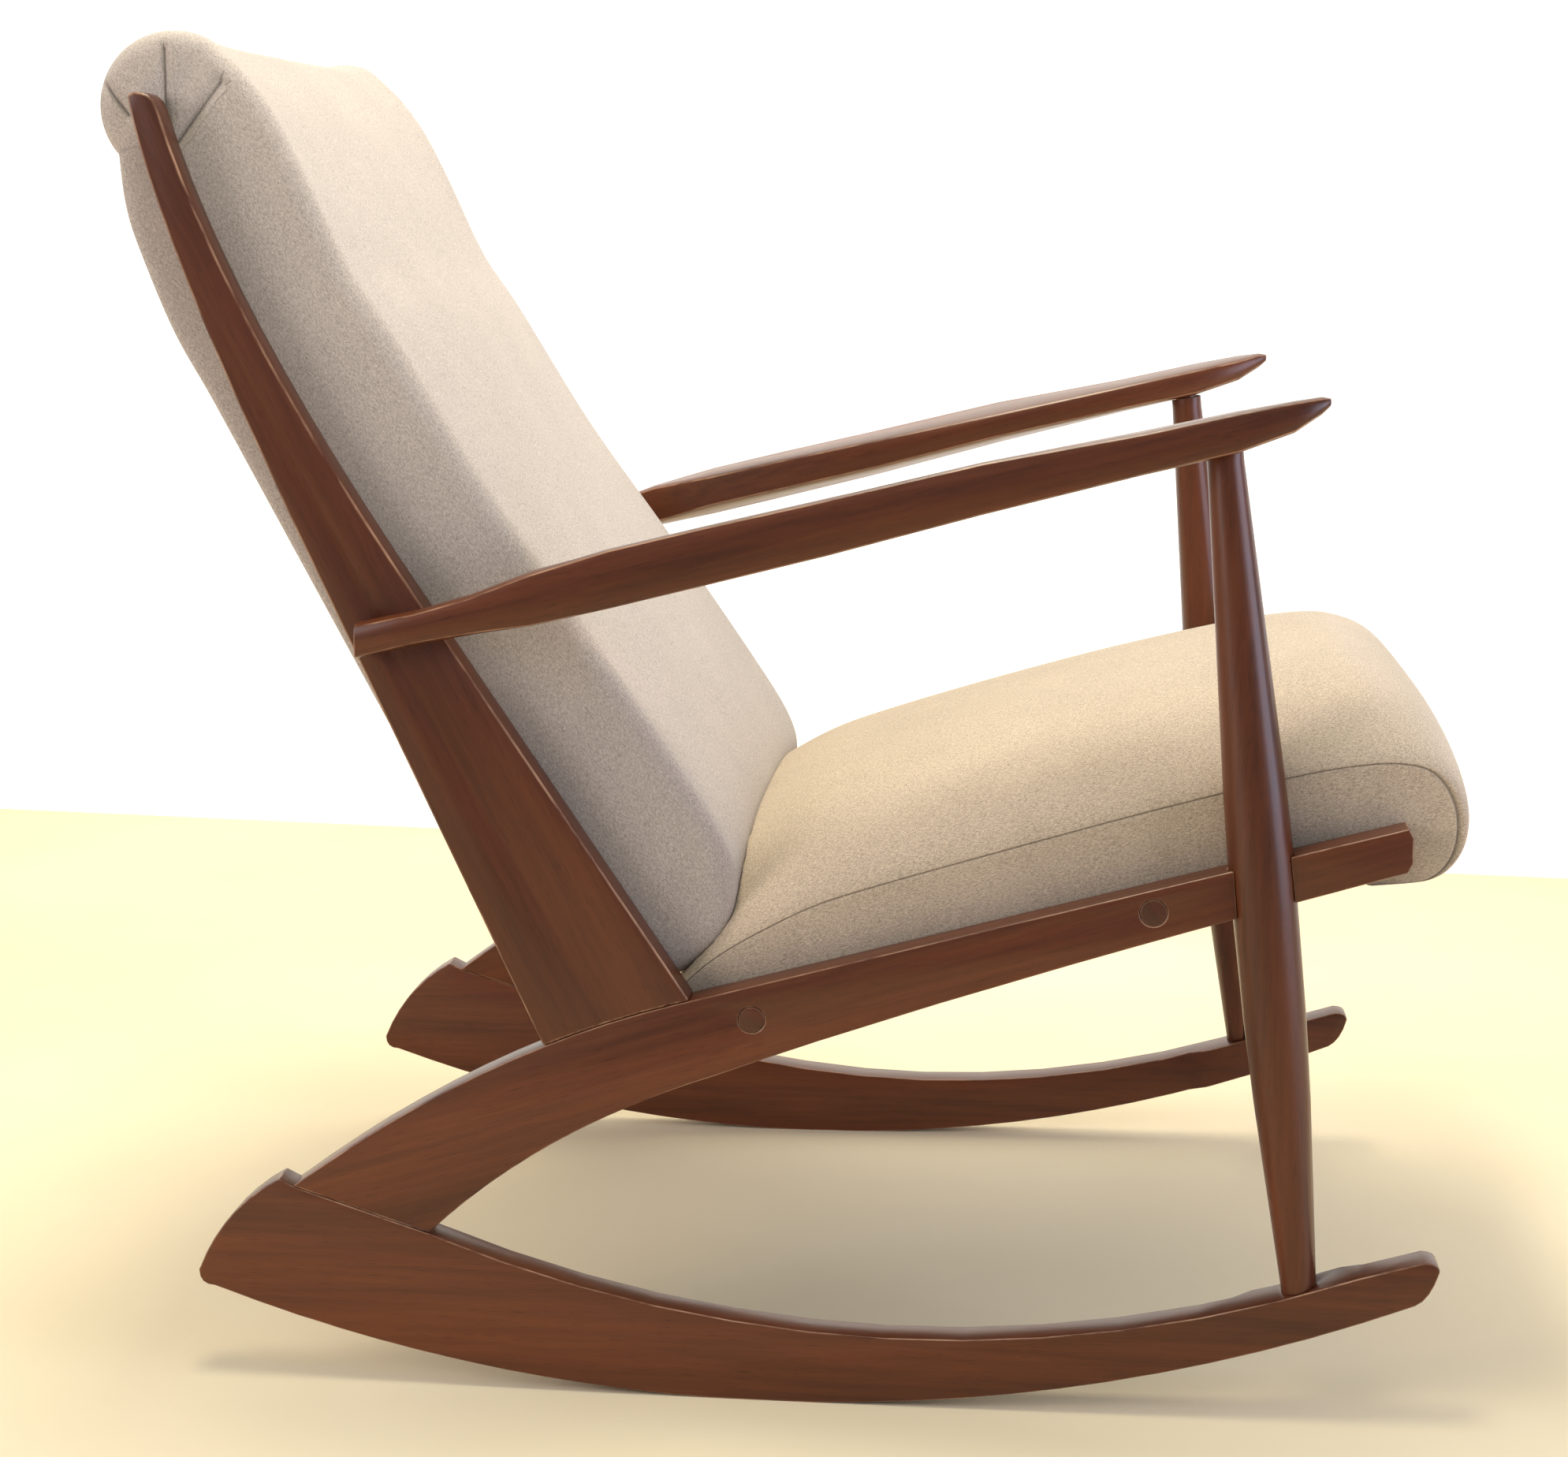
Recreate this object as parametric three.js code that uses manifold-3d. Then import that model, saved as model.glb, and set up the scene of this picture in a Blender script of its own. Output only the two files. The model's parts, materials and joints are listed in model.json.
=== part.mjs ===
// A wooden rocking chair with an upholstered seat and high back, in millimetres.
// +Z is up, -Y is the way the sitter faces, +X is the sitter's left.
// The side view is drawn from the point where the runners touch the floor.
import * as THREE from "three";
import { mergeVertices } from "three/addons/utils/BufferGeometryUtils.js";
import Module from "manifold-3d";

const wasm = await Module();
wasm.setup();

// Overall sizes of the side view
const reach = 833; // length of a runner, tip to tip
const stature = 905; // floor to the top of the head roll

// Side frames: the half width of the chair to the middle of the wood
const postHalf = 281; // at the foot of the rear strut
const postHalfHeight = 144; // height at which postHalf is measured
const leanRatio = 0.028; // the frames lean in by this much of their height
const toeRatio = 0.0173; // the runners open out by this much of their length
const plankThickness = 24; // runner, rail and post
const fitGap = 0.3; // clearance between pieces that touch
const cutOverrun = 40; // how far a cutter runs past what it cuts

// Runner
const rockerRadius = 1114;
const restFlat = 66; // level stretch at the lowest point
const runnerFrontShare = 0.533;
const runnerRearShare = 0.467;
const runnerFrontDepth = 32;
const runnerRearDepth = 103;
const runnerTaper = 2; // exponent of the growth in depth
const runnerSlimShare = 0.472; // where the front taper begins
const strutHeelShare = 0.274;
const strutToeShare = 0.3855;
const strutSeatDepth = 92; // runner depth below the strut's rear corner
const tipRise = 11;
const tipNose = 30;
const tipNoseShare = 0.8; // how far up its end the front tip reaches furthest
const humpRise = 5;
const bossWidth = 5.5; // swelling of the runner's inner face at the leg
const bossLength = 58;
const bossRun = 14;

// Rail with its rear strut, as shares of reach and stature
const railFrontShare = 0.499;
const railFrontTopShare = 0.442;
const railFrontLowShare = 0.41;
const railBendShares = [
  [0.072, 0.3006],
  [0.232, 0.2608],
];
const railUnderShares = [
  [-0.1525, 0.3157],
  [0.0384, 0.2481],
  [0.1813, 0.2033],
];
const railNose = 6;

// Back post, as shares of reach and stature
const postRearShares = [
  [0.1777, 0.2663],
  [0.3553, 0.6166],
  [0.4786, 0.8596],
  [0.4952, 0.953],
];
const postFrontShares = [
  [0.0588, 0.3028],
  [0.27, 0.5915],
  [0.4274, 0.8043],
  [0.471, 0.9436],
];
const postNose = 7; // rounding of the post's top

// Front leg
const legFootShare = -0.4256; // place of the foot along the runner
const legFootRise = 2.2; // the foot is measured from this height above the runner
const legFootIn = 1.7; // how far the foot stands inside the runner's middle
const legTopShares = [-0.3529, 0.6983];
const legTopIn = 7.3; // how far the top stands inside the frame's middle
const legDiameter = 43;
const legHeightShares = [0, 0.13, 0.23, 0.33, 0.42, 0.52, 0.61, 0.71, 0.8, 0.9, 1];
const legRadiusShares = [0.54, 0.716, 0.865, 0.949, 0.985, 1, 0.949, 0.835, 0.74, 0.65, 0.55];
const legTenonDiameter = 16;
const legTenonLength = 16;
const legFacets = 24;

// Armrest: stations from the rear end to the tip
const armStationShares = [0.3193, 0.27, 0.228, 0.18, 0.12, 0.048, -0.048, -0.168, -0.288, -0.36, -0.402, -0.4225, -0.4297];
const armUndersideShares = [0.5558, 0.5669, 0.574, 0.5796, 0.5917, 0.6083, 0.6309, 0.6613, 0.69, 0.7061, 0.7204, 0.7326, 0.7392];
const armThickness = 40; // at its thickest, along the outer edge
const armOuterShares = [0.57, 0.54, 0.64, 0.9, 1.02, 1.01, 0.96, 0.88, 0.7, 0.67, 0.52, 0.3, 0.12];
const armInnerShares = [0.57, 0.54, 0.64, 0.9, 0.91, 0.9, 0.85, 0.72, 0.63, 0.6, 0.46, 0.28, 0.115];
const armLiftShares = [0, 0, 0, 0.12, 0.27, 0.27, 0.25, 0.22, 0.14, 0.09, 0.05, 0.02, 0]; // inner edge of the underside
const armWidth = 58; // at its widest
const armLapWidth = 22; // where it laps the post
const armOutsideShares = [0, 0, 0, -0.05, -0.11, -0.13, -0.145, -0.165, -0.18, -0.2, -0.24, -0.34, -0.44];
const armWidthShares = [0, 0, 0, 0.1, 0.53, 0.74, 0.99, 1, 0.87, 0.7, 0.34, 0.1, 0];
const armEdgeRadius = 6;

// Fasteners
const boltDiameter = 7;
const boltHeadDiameter = 13;
const boltHeadThickness = 5;
const plugDiameter = 17.4;
const plugThickness = 5;
const boltStationShares = [0.0102, -0.3049];
const boltHeightShares = [0.2907, 0.3771];
const boltEndMargin = 4;
const dowelDiameter = 10;
const dowelLength = 38;
const strutDowelShares = [0.25, 0.7];
const postDowelShares = [0.25, 0.72];
const screwDiameter = 5;
const screwHeadDiameter = 10;
const screwHeadThickness = 3;
const screwBite = 13; // how far a screw goes into the arm
const armScrewShares = [0.3, 0.262];
const armScrewHeightShares = [0.5706, 0.5795];
const backBoltShares = [
  [0.2353, 0.4254],
  [0.401, 0.741],
];
const backBoltBite = 14;
const roundFacets = 20;

// Seat
const seatSlope = 0.29; // rise per length towards the front
const seatLineShares = [-0.1473, 0.3339];
const seatRailHeight = 36;
const seatRailThickness = 22;
const seatFrameFrontShare = 0.478;
const seatFrameRearShare = 0.0768;
const frontRailDrop = 9; // the front rail reaches lower than the side rails
const coverThickness = 8; // cloth and wadding round the inner frames
const strapThickness = 2;
const seatStrapWidth = 60;
const seatStrapCount = 4;
const baseClothThickness = 1.5;
const blockSide = 42;
const blockThickness = 20;
const seatCrown = 52;
const seatBow = 7; // the crown is this much higher halfway along the seat
const seatNoseSwell = 12;
const seatDrawIn = 10;
const seatTopShares = [
  [0.082, 0.272],
  [0.074, 0.3],
  [0.06, 0.316],
  [0.037, 0.3326],
  [0.007, 0.3492],
  [-0.035, 0.3691],
  [-0.086, 0.3856],
  [-0.204, 0.4188],
  [-0.31, 0.4475],
  [-0.414, 0.4729],
  [-0.466, 0.482],
  [-0.496, 0.4835],
];
const seatNoseShares = [
  [-0.518, 0.4793],
  [-0.532, 0.4652],
  [-0.5395, 0.445],
  [-0.538, 0.4221],
  [-0.529, 0.4066],
  [-0.515, 0.398],
  [-0.474, 0.3935],
];

// Back
const backRearShares = [
  [0.2101, 0.3315],
  [0.3974, 0.6552],
  [0.4454, 0.7381],
  [0.473, 0.7834],
  [0.4958, 0.8343],
  [0.509, 0.8718],
  [0.5138, 0.9149],
];
const backFrontShares = [
  [0.4094, 0.9768],
  [0.3854, 0.947],
  [0.359, 0.9028],
  [0.3301, 0.8343],
  [0.3001, 0.789],
  [0.2305, 0.6818],
  [0.1489, 0.5735],
  [0.0576, 0.4464],
  [0.0324, 0.4033],
  [0.0288, 0.3796],
  [0.0312, 0.3509],
  [0.0408, 0.3326],
  [0.0624, 0.3182],
];
const rollShares = [0.4715, 0.948];
const rollRadius = 47;
const rollDip = 8; // the roll is this much slimmer in its middle
const rollDipShare = 0.78; // how much of the roll's length the dip takes
const rollSteps = 9;
const rollStart = -0.64; // radians, where the roll leaves the rear panel
const rollEnd = 2.05; // radians, where it runs into the front
const backFrontSteps = 26;
const backStations = 24;
const backCrown = 12;
const backSoftEdge = 20;
const backDrawIn = 8;
const stileDepth = 78;
const stileThickness = 18;
const backPanelThickness = 6;
const backRailHeight = 46;
const backRailDepth = 20;
const backRailShares = [0.03, 0.46, 0.89]; // where the rails begin along the back
const backStrapHeight = 60;
const backStrapShares = [0.2, 0.42, 0.64];
const cushionSteps = [-1, -0.985, -0.95, -0.88, -0.75, -0.55, -0.28, 0, 0.28, 0.55, 0.75, 0.88, 0.95, 0.985, 1];

const finishes = {
  post: new THREE.MeshStandardMaterial({ color: 0x4a2418, roughness: 0.42, metalness: 0 }),
  rail: new THREE.MeshStandardMaterial({ color: 0x6b3520, roughness: 0.42, metalness: 0 }),
  plug: new THREE.MeshStandardMaterial({ color: 0x54301f, roughness: 0.5, metalness: 0 }),
  inner: new THREE.MeshStandardMaterial({ color: 0xb08a5a, roughness: 0.7, metalness: 0 }),
  steel: new THREE.MeshStandardMaterial({ color: 0x9a9a98, roughness: 0.4, metalness: 0.9 }),
  fabric: new THREE.MeshStandardMaterial({ color: 0xc9bda8, roughness: 0.95, metalness: 0 }),
  strap: new THREE.MeshStandardMaterial({ color: 0x7d6a4c, roughness: 0.9, metalness: 0 }),
  cloth: new THREE.MeshStandardMaterial({ color: 0x3a3836, roughness: 0.95, metalness: 0 }),
};

// Solids and cuts
const mergeDistance = 1e-4;

function solidOf(geometry) {
  const bare = geometry.index ? geometry.toNonIndexed() : geometry.clone();
  for (const name of Object.keys(bare.attributes)) {
    if (name !== "position") bare.deleteAttribute(name);
  }
  const merged = mergeVertices(bare, mergeDistance);
  const made = new wasm.Manifold(
    new wasm.Mesh({
      numProp: 3,
      vertProperties: merged.attributes.position.array,
      triVerts: new Uint32Array(merged.index.array),
    }),
  );
  return made;
}

function geometryOf(solid) {
  const surface = solid.getMesh();
  const geometry = new THREE.BufferGeometry();
  geometry.setAttribute("position", new THREE.BufferAttribute(new Float32Array(surface.vertProperties), 3));
  geometry.setIndex(new THREE.BufferAttribute(new Uint32Array(surface.triVerts), 1));
  geometry.computeVertexNormals();
  return geometry;
}

function mesh(name, shape, material) {
  const geometry = shape.isBufferGeometry ? shape : geometryOf(shape);
  const piece = new THREE.Mesh(geometry, material);
  piece.name = name;
  return piece;
}

const cutAll = (solid, cutters) => cutters.reduce((left, cutter) => left.subtract(cutter), solid);

// Outlines in the side view
const place = ([alongShare, upShare]) => new THREE.Vector2(alongShare * reach, upShare * stature);

function curvePoints(curve, steps) {
  return curve.getPoints(steps);
}

// The outline moved out by a distance, corner by corner.
function grown(outline, distance) {
  const turning = Math.sign(THREE.ShapeUtils.area(outline));
  return outline.map((point, i) => {
    const before = outline[(i + outline.length - 1) % outline.length];
    const after = outline[(i + 1) % outline.length];
    const first = point.clone().sub(before).normalize();
    const second = after.clone().sub(point).normalize();
    const out = new THREE.Vector2(first.y + second.y, -first.x - second.x).multiplyScalar(turning);
    const stretch = Math.max(out.lengthSq(), 0.5);
    return point.clone().addScaledVector(out, (2 * distance) / stretch);
  });
}

// An upright plank: the outline in Y and Z, filled from one X to another.
function plank(outline, fromX, toX) {
  const shape = new THREE.Shape(outline);
  const geometry = new THREE.ExtrudeGeometry(shape, { depth: toX - fromX, bevelEnabled: false });
  const sideways = new THREE.Matrix4().makeBasis(
    new THREE.Vector3(0, 1, 0),
    new THREE.Vector3(0, 0, 1),
    new THREE.Vector3(1, 0, 0),
  );
  return geometry.applyMatrix4(sideways).translate(fromX, 0, 0);
}

// Moves each point sideways by a rule of its Y and Z.
function shifted(geometry, shiftAt) {
  const spots = geometry.attributes.position;
  for (let i = 0; i < spots.count; i += 1) {
    spots.setX(i, spots.getX(i) + shiftAt(spots.getY(i), spots.getZ(i)));
  }
  return geometry;
}

const frameHalfAt = (y, z) => postHalf - leanRatio * (z - postHalfHeight);
const innerHalfAt = (z) => frameHalfAt(0, z) - plankThickness / 2;
const outerHalfAt = (z) => frameHalfAt(0, z) + plankThickness / 2;
const halfPlank = plankThickness / 2;

const framePlank = (outline, fromX, toX) => solidOf(shifted(plank(outline, fromX, toX), frameHalfAt));

// A board across the chair whose ends follow the leaning frames, a set distance inside them.
function crossBoard(outline, inset) {
  const geometry = plank(outline, -1, 1);
  const spots = geometry.attributes.position;
  for (let i = 0; i < spots.count; i += 1) {
    spots.setX(i, spots.getX(i) * (innerHalfAt(spots.getZ(i)) - inset));
  }
  return geometry;
}

// A round bar between two points.
function bar(start, end, radius, facets = roundFacets) {
  const along = end.clone().sub(start);
  const geometry = new THREE.CylinderGeometry(radius, radius, along.length(), facets);
  const turn = new THREE.Quaternion().setFromUnitVectors(new THREE.Vector3(0, 1, 0), along.clone().normalize());
  const middle = start.clone().add(end).multiplyScalar(1 / 2);
  return solidOf(geometry.applyQuaternion(turn).translate(middle.x, middle.y, middle.z));
}

const sideView = (point) => new THREE.Vector2(point.y, point.z);

// A closed skin over rings of points; flat turns a point into the plane of the end caps.
function loft(rings, flat) {
  const count = rings[0].length;
  const triangles = [];
  rings.slice(1).forEach((ring, k) => {
    for (let i = 0; i < count; i += 1) {
      const next = (i + 1) % count;
      const here = k * count;
      const there = here + count;
      triangles.push(here + i, here + next, there + next, here + i, there + next, there + i);
    }
  });
  const last = (rings.length - 1) * count;
  for (const [a, b, c] of THREE.ShapeUtils.triangulateShape(rings[0].map(flat), [])) {
    triangles.push(a, c, b);
  }
  for (const [a, b, c] of THREE.ShapeUtils.triangulateShape(rings[rings.length - 1].map(flat), [])) {
    triangles.push(last + a, last + b, last + c);
  }
  const spots = rings.flat().flatMap((point) => [point.x, point.y, point.z]);
  const geometry = new THREE.BufferGeometry();
  geometry.setAttribute("position", new THREE.BufferAttribute(new Float32Array(spots), 3));
  geometry.setIndex(triangles);
  return geometry;
}

// Runner
const runnerFront = -runnerFrontShare * reach;
const runnerRear = runnerRearShare * reach;
const slimFront = -runnerSlimShare * reach;
const strutHeel = strutHeelShare * reach;
const strutToe = strutToeShare * reach;
const rockerCentre = Math.sqrt(rockerRadius ** 2 - (restFlat / 2) ** 2);
const soleAt = (y) => Math.max(0, rockerCentre - Math.sqrt(rockerRadius ** 2 - y ** 2));

function runnerTopAt(y) {
  const share = (y - slimFront) / (strutToe - slimFront);
  return soleAt(y) + runnerFrontDepth + (runnerRearDepth - runnerFrontDepth) * share ** runnerTaper;
}

const strutHeelPoint = new THREE.Vector2(strutHeel, runnerTopAt(strutHeel));
const strutToePoint = new THREE.Vector2(strutToe, soleAt(strutToe) + strutSeatDepth);

function runnerOutline() {
  const soleSteps = 12;
  const topSteps = 12;
  const soleFront = runnerFront + tipNose / 2;
  const soleRear = runnerRear - tipRise;
  const spots = [];
  for (let i = 0; i <= soleSteps; i += 1) {
    const y = THREE.MathUtils.lerp(soleFront, -restFlat / 2, i / soleSteps);
    spots.push(new THREE.Vector2(y, soleAt(y)));
  }
  for (let i = 0; i <= soleSteps; i += 1) {
    const y = THREE.MathUtils.lerp(restFlat / 2, soleRear, i / soleSteps);
    spots.push(new THREE.Vector2(y, soleAt(y)));
  }
  const heel = new THREE.Vector2(soleRear, soleAt(soleRear));
  const rearTip = new THREE.Vector2(runnerRear, soleAt(soleRear) + tipRise);
  const hump = new THREE.Vector2(strutToe + 2 * humpRise, strutToePoint.y + humpRise);
  const rearRounding = new THREE.QuadraticBezierCurve(heel, new THREE.Vector2(runnerRear, heel.y), rearTip);
  const bow = new THREE.Vector2((rearTip.x + hump.x) / 2 + tipRise, (rearTip.y + hump.y) / 2 + tipRise);
  const rearEnd = new THREE.QuadraticBezierCurve(rearTip, bow, hump);
  spots.push(...curvePoints(rearRounding, 4).slice(1));
  spots.push(...curvePoints(rearEnd, 7).slice(1));
  spots.push(strutToePoint.clone());
  for (let i = 0; i <= topSteps; i += 1) {
    const y = THREE.MathUtils.lerp(strutHeel, slimFront, i / topSteps);
    spots.push(new THREE.Vector2(y, runnerTopAt(y)));
  }
  const sole = spots[0];
  const nose = new THREE.Vector2(runnerFront, sole.y + tipNose * tipNoseShare);
  const crest = new THREE.Vector2(runnerFront + tipNose / 3, sole.y + tipNose);
  const crestTurn = new THREE.Vector2(runnerFront, crest.y);
  const noseTurn = new THREE.Vector2(runnerFront + tipNose / 6, sole.y + tipNose / 6);
  spots.push(crest);
  spots.push(...curvePoints(new THREE.QuadraticBezierCurve(crest, crestTurn, nose), 4).slice(1));
  spots.push(...curvePoints(new THREE.QuadraticBezierCurve(nose, noseTurn, sole), 4).slice(1, -1));
  return spots;
}

const runnerProfile = runnerOutline();
const runnerShift = (y) => postHalf + toeRatio * (strutToe - y);

// Rail with its strut
function railOutline() {
  const frontTop = new THREE.Vector2(-railFrontShare * reach, railFrontTopShare * stature);
  const frontLow = new THREE.Vector2(-railFrontShare * reach, railFrontLowShare * stature);
  const [bendStart, bendTurn] = railBendShares.map(place);
  const [underTurn, underMiddle, strutTurn] = railUnderShares.map(place);
  const upper = new THREE.QuadraticBezierCurve(bendStart, bendTurn, strutToePoint);
  const strutUnder = new THREE.QuadraticBezierCurve(strutHeelPoint, strutTurn, underMiddle);
  const railUnder = new THREE.QuadraticBezierCurve(underMiddle, underTurn, frontLow);
  const noseLow = new THREE.Vector2(frontLow.x - railNose / 2, frontLow.y + railNose);
  const noseTop = new THREE.Vector2(frontTop.x - railNose / 2, frontTop.y - railNose);
  return [
    ...curvePoints(strutUnder, 12),
    ...curvePoints(railUnder, 10).slice(1),
    noseLow,
    noseTop,
    frontTop,
    ...curvePoints(upper, 12),
  ];
}

const railProfile = railOutline();

// Back post
function postOutline() {
  const [rearFoot, rearBend, rearTurn, rearTop] = postRearShares.map(place);
  const [frontFoot, frontBend, frontTurn, frontTop] = postFrontShares.map(place);
  const rear = new THREE.QuadraticBezierCurve(rearBend, rearTurn, rearTop);
  const front = new THREE.QuadraticBezierCurve(frontTop, frontTurn, frontBend);
  const crown = rearTop.clone().add(frontTop).multiplyScalar(1 / 2);
  const peak = new THREE.Vector2(crown.x, crown.y + postNose);
  const nose = new THREE.CubicBezierCurve(
    rearTop,
    new THREE.Vector2(rearTop.x, peak.y),
    new THREE.Vector2(frontTop.x + postNose / 2, peak.y + postNose / 2),
    frontTop,
  );
  const sunk = new THREE.Vector2(0, -plankThickness);
  return [
    frontFoot.clone().add(sunk),
    rearFoot.clone().add(sunk),
    rearFoot,
    ...curvePoints(rear, 12),
    ...curvePoints(nose, 6).slice(1, -1),
    ...curvePoints(front, 12),
    frontFoot,
  ];
}

// Front leg
const legFootAlong = legFootShare * reach;
const legFootHalf = runnerShift(legFootAlong) - legFootIn;
const legFoot = new THREE.Vector3(legFootHalf, legFootAlong, runnerTopAt(legFootAlong) + legFootRise);
const legTopSpot = place(legTopShares);
const legTopHalf = frameHalfAt(legTopSpot.x, legTopSpot.y) - legTopIn;
const legTop = new THREE.Vector3(legTopHalf, legTopSpot.x, legTopSpot.y);
const legUp = legTop.clone().sub(legFoot).normalize();
const legSpan = legTop.distanceTo(legFoot);

function alongLeg(geometry) {
  const turn = new THREE.Quaternion().setFromUnitVectors(new THREE.Vector3(0, 1, 0), legUp);
  return solidOf(geometry.applyQuaternion(turn).translate(legFoot.x, legFoot.y, legFoot.z));
}

// The turned leg, let down into the runner so that its foot can be cut to the runner's top.
function legShaft(extra) {
  const profile = legHeightShares.map(
    (share, i) => new THREE.Vector2((legRadiusShares[i] * legDiameter) / 2 + extra, share * legSpan),
  );
  const low = new THREE.Vector2(profile[0].x, -legDiameter / 2);
  const high = new THREE.Vector2(profile[profile.length - 1].x, legSpan + legTenonLength / 2);
  const outline = [new THREE.Vector2(0, low.y), low, ...profile, high, new THREE.Vector2(0, high.y)];
  return alongLeg(new THREE.LatheGeometry(outline, legFacets));
}

const onLeg = (distance) => legFoot.clone().addScaledVector(legUp, distance);

function legTenons(extra, reachExtra) {
  const radius = legTenonDiameter / 2 + extra;
  const lower = bar(onLeg(-legTenonLength - reachExtra), onLeg(legDiameter / 2), radius);
  const upper = bar(onLeg(legSpan - legDiameter / 2), onLeg(legSpan + legTenonLength + reachExtra), radius);
  return [lower, upper];
}

// Armrest
function softCorners(corners, radius) {
  return corners.flatMap((corner, i) => {
    const before = corners[(i + corners.length - 1) % corners.length];
    const after = corners[(i + 1) % corners.length];
    const backStep = Math.min(radius, corner.distanceTo(before) * (2 / 5));
    const aheadStep = Math.min(radius, corner.distanceTo(after) * (2 / 5));
    const start = corner.clone().lerp(before, backStep / corner.distanceTo(before));
    const end = corner.clone().lerp(after, aheadStep / corner.distanceTo(after));
    const middle = start.clone().add(end).add(corner).add(corner).multiplyScalar(1 / 4);
    return [start, middle, end];
  });
}

function armSection(i) {
  const y = armStationShares[i] * reach;
  const low = armUndersideShares[i] * stature;
  const outside = outerHalfAt(low) + fitGap + armLapWidth + armOutsideShares[i] * armWidth;
  const width = armLapWidth + armWidthShares[i] * (armWidth - armLapWidth);
  const taper = Math.min(1, armOuterShares[i] * 2);
  const narrowed = width * taper;
  const outerHigh = low + armOuterShares[i] * armThickness;
  const innerHigh = low + armInnerShares[i] * armThickness;
  const innerLow = low + armLiftShares[i] * armThickness;
  const outerLean = leanRatio * (outerHigh - low);
  const innerLean = leanRatio * (innerHigh - low);
  const corners = [
    new THREE.Vector3(outside, y, low),
    new THREE.Vector3(outside - narrowed, y, innerLow),
    new THREE.Vector3(outside - narrowed - innerLean, y, innerHigh),
    new THREE.Vector3(outside - outerLean, y, outerHigh),
  ];
  return softCorners(corners, armEdgeRadius);
}

function armSolid() {
  const sections = armStationShares.map((share, i) => armSection(i)).reverse();
  return solidOf(loft(sections, (point) => new THREE.Vector2(point.z, point.x)));
}

// Round pieces that run straight across a side frame
const sideways = (x, y, z) => new THREE.Vector3(x, y, z);
const crossBar = (spot, fromX, toX, diameter) =>
  bar(sideways(fromX, spot.x, spot.y), sideways(toX, spot.x, spot.y), diameter / 2);

const boltSpots = boltStationShares.map((share, i) => place([share, boltHeightShares[i]]));

function boltOf(spot) {
  const face = outerHalfAt(spot.y);
  const headOuter = face - plugThickness - fitGap;
  const headInner = headOuter - boltHeadThickness;
  const end = innerHalfAt(spot.y) - coverThickness - seatRailThickness + boltEndMargin;
  const head = crossBar(spot, headInner, headOuter, boltHeadDiameter);
  return head.add(crossBar(spot, end, headInner + boltHeadThickness / 2, boltDiameter));
}

function plugOf(spot) {
  const face = outerHalfAt(spot.y);
  return crossBar(spot, face - plugThickness, face, plugDiameter);
}

function boltBores(spot) {
  const face = outerHalfAt(spot.y);
  const seat = face - plugThickness - 2 * fitGap - boltHeadThickness;
  const clear = 2 * fitGap;
  return [
    crossBar(spot, seat, face + cutOverrun, plugDiameter + clear),
    crossBar(spot, face - plankThickness - cutOverrun, face, boltDiameter + clear),
  ];
}

// Dowels stand square to a joint line, half in each piece.
function dowelsOn(from, to, shares, extra) {
  const square = new THREE.Vector2(-(to.y - from.y), to.x - from.x).normalize();
  return shares.map((share) => {
    const middle = from.clone().lerp(to, share);
    const half = dowelLength / 2 + extra;
    const x = frameHalfAt(middle.x, middle.y);
    const low = middle.clone().addScaledVector(square, -half);
    const high = middle.clone().addScaledVector(square, half);
    return bar(sideways(x, low.x, low.y), sideways(x, high.x, high.y), dowelDiameter / 2 + extra);
  });
}

const [postRearFoot] = postRearShares.map(place);
const [postFrontFoot] = postFrontShares.map(place);
const strutDowels = (extra) => dowelsOn(strutHeelPoint, strutToePoint, strutDowelShares, extra);
const postDowels = (extra) => dowelsOn(postFrontFoot, postRearFoot, postDowelShares, extra);

// Screws go from inside the post into the arm.
const armScrewSpots = armScrewShares.map((share, i) => place([share, armScrewHeightShares[i]]));

function armScrew(spot, extra, overrun) {
  const face = innerHalfAt(spot.y);
  const shank = crossBar(spot, face, face + plankThickness + screwBite + extra, screwDiameter + 2 * extra);
  const head = crossBar(spot, face - overrun, face + screwHeadThickness + extra, screwHeadDiameter + 2 * extra);
  return shank.add(head);
}

// Bolts go from inside the back frame into the post.
const backBoltSpots = backBoltShares.map(place);

function backBolt(spot, extra, overrun) {
  const face = innerHalfAt(spot.y) - coverThickness - fitGap - stileThickness;
  const end = innerHalfAt(spot.y) + backBoltBite + extra;
  const shank = crossBar(spot, face, end, boltDiameter + 2 * extra);
  const head = crossBar(spot, face - overrun, face + boltHeadThickness + extra, boltHeadDiameter + 2 * extra);
  return shank.add(head);
}

// Back upholstery
const backRear = backRearShares.map(place);
const roll = place(rollShares);

function backOutline() {
  const rollArc = [];
  for (let i = 0; i <= rollSteps; i += 1) {
    const angle = THREE.MathUtils.lerp(rollStart, rollEnd, i / rollSteps);
    rollArc.push(new THREE.Vector2(roll.x + rollRadius * Math.cos(angle), roll.y + rollRadius * Math.sin(angle)));
  }
  const front = new THREE.SplineCurve(backFrontShares.map(place)).getSpacedPoints(backFrontSteps);
  return [...backRear, ...rollArc, ...front];
}

const backProfile = backOutline();
const frontCount = backFrontSteps + 1;

// The back leans, so its front is the side towards the sitter and above.
const backTilt = backRear[1].clone().sub(backRear[0]).normalize();
const backForward = new THREE.Vector2(-backTilt.y, backTilt.x);

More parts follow.
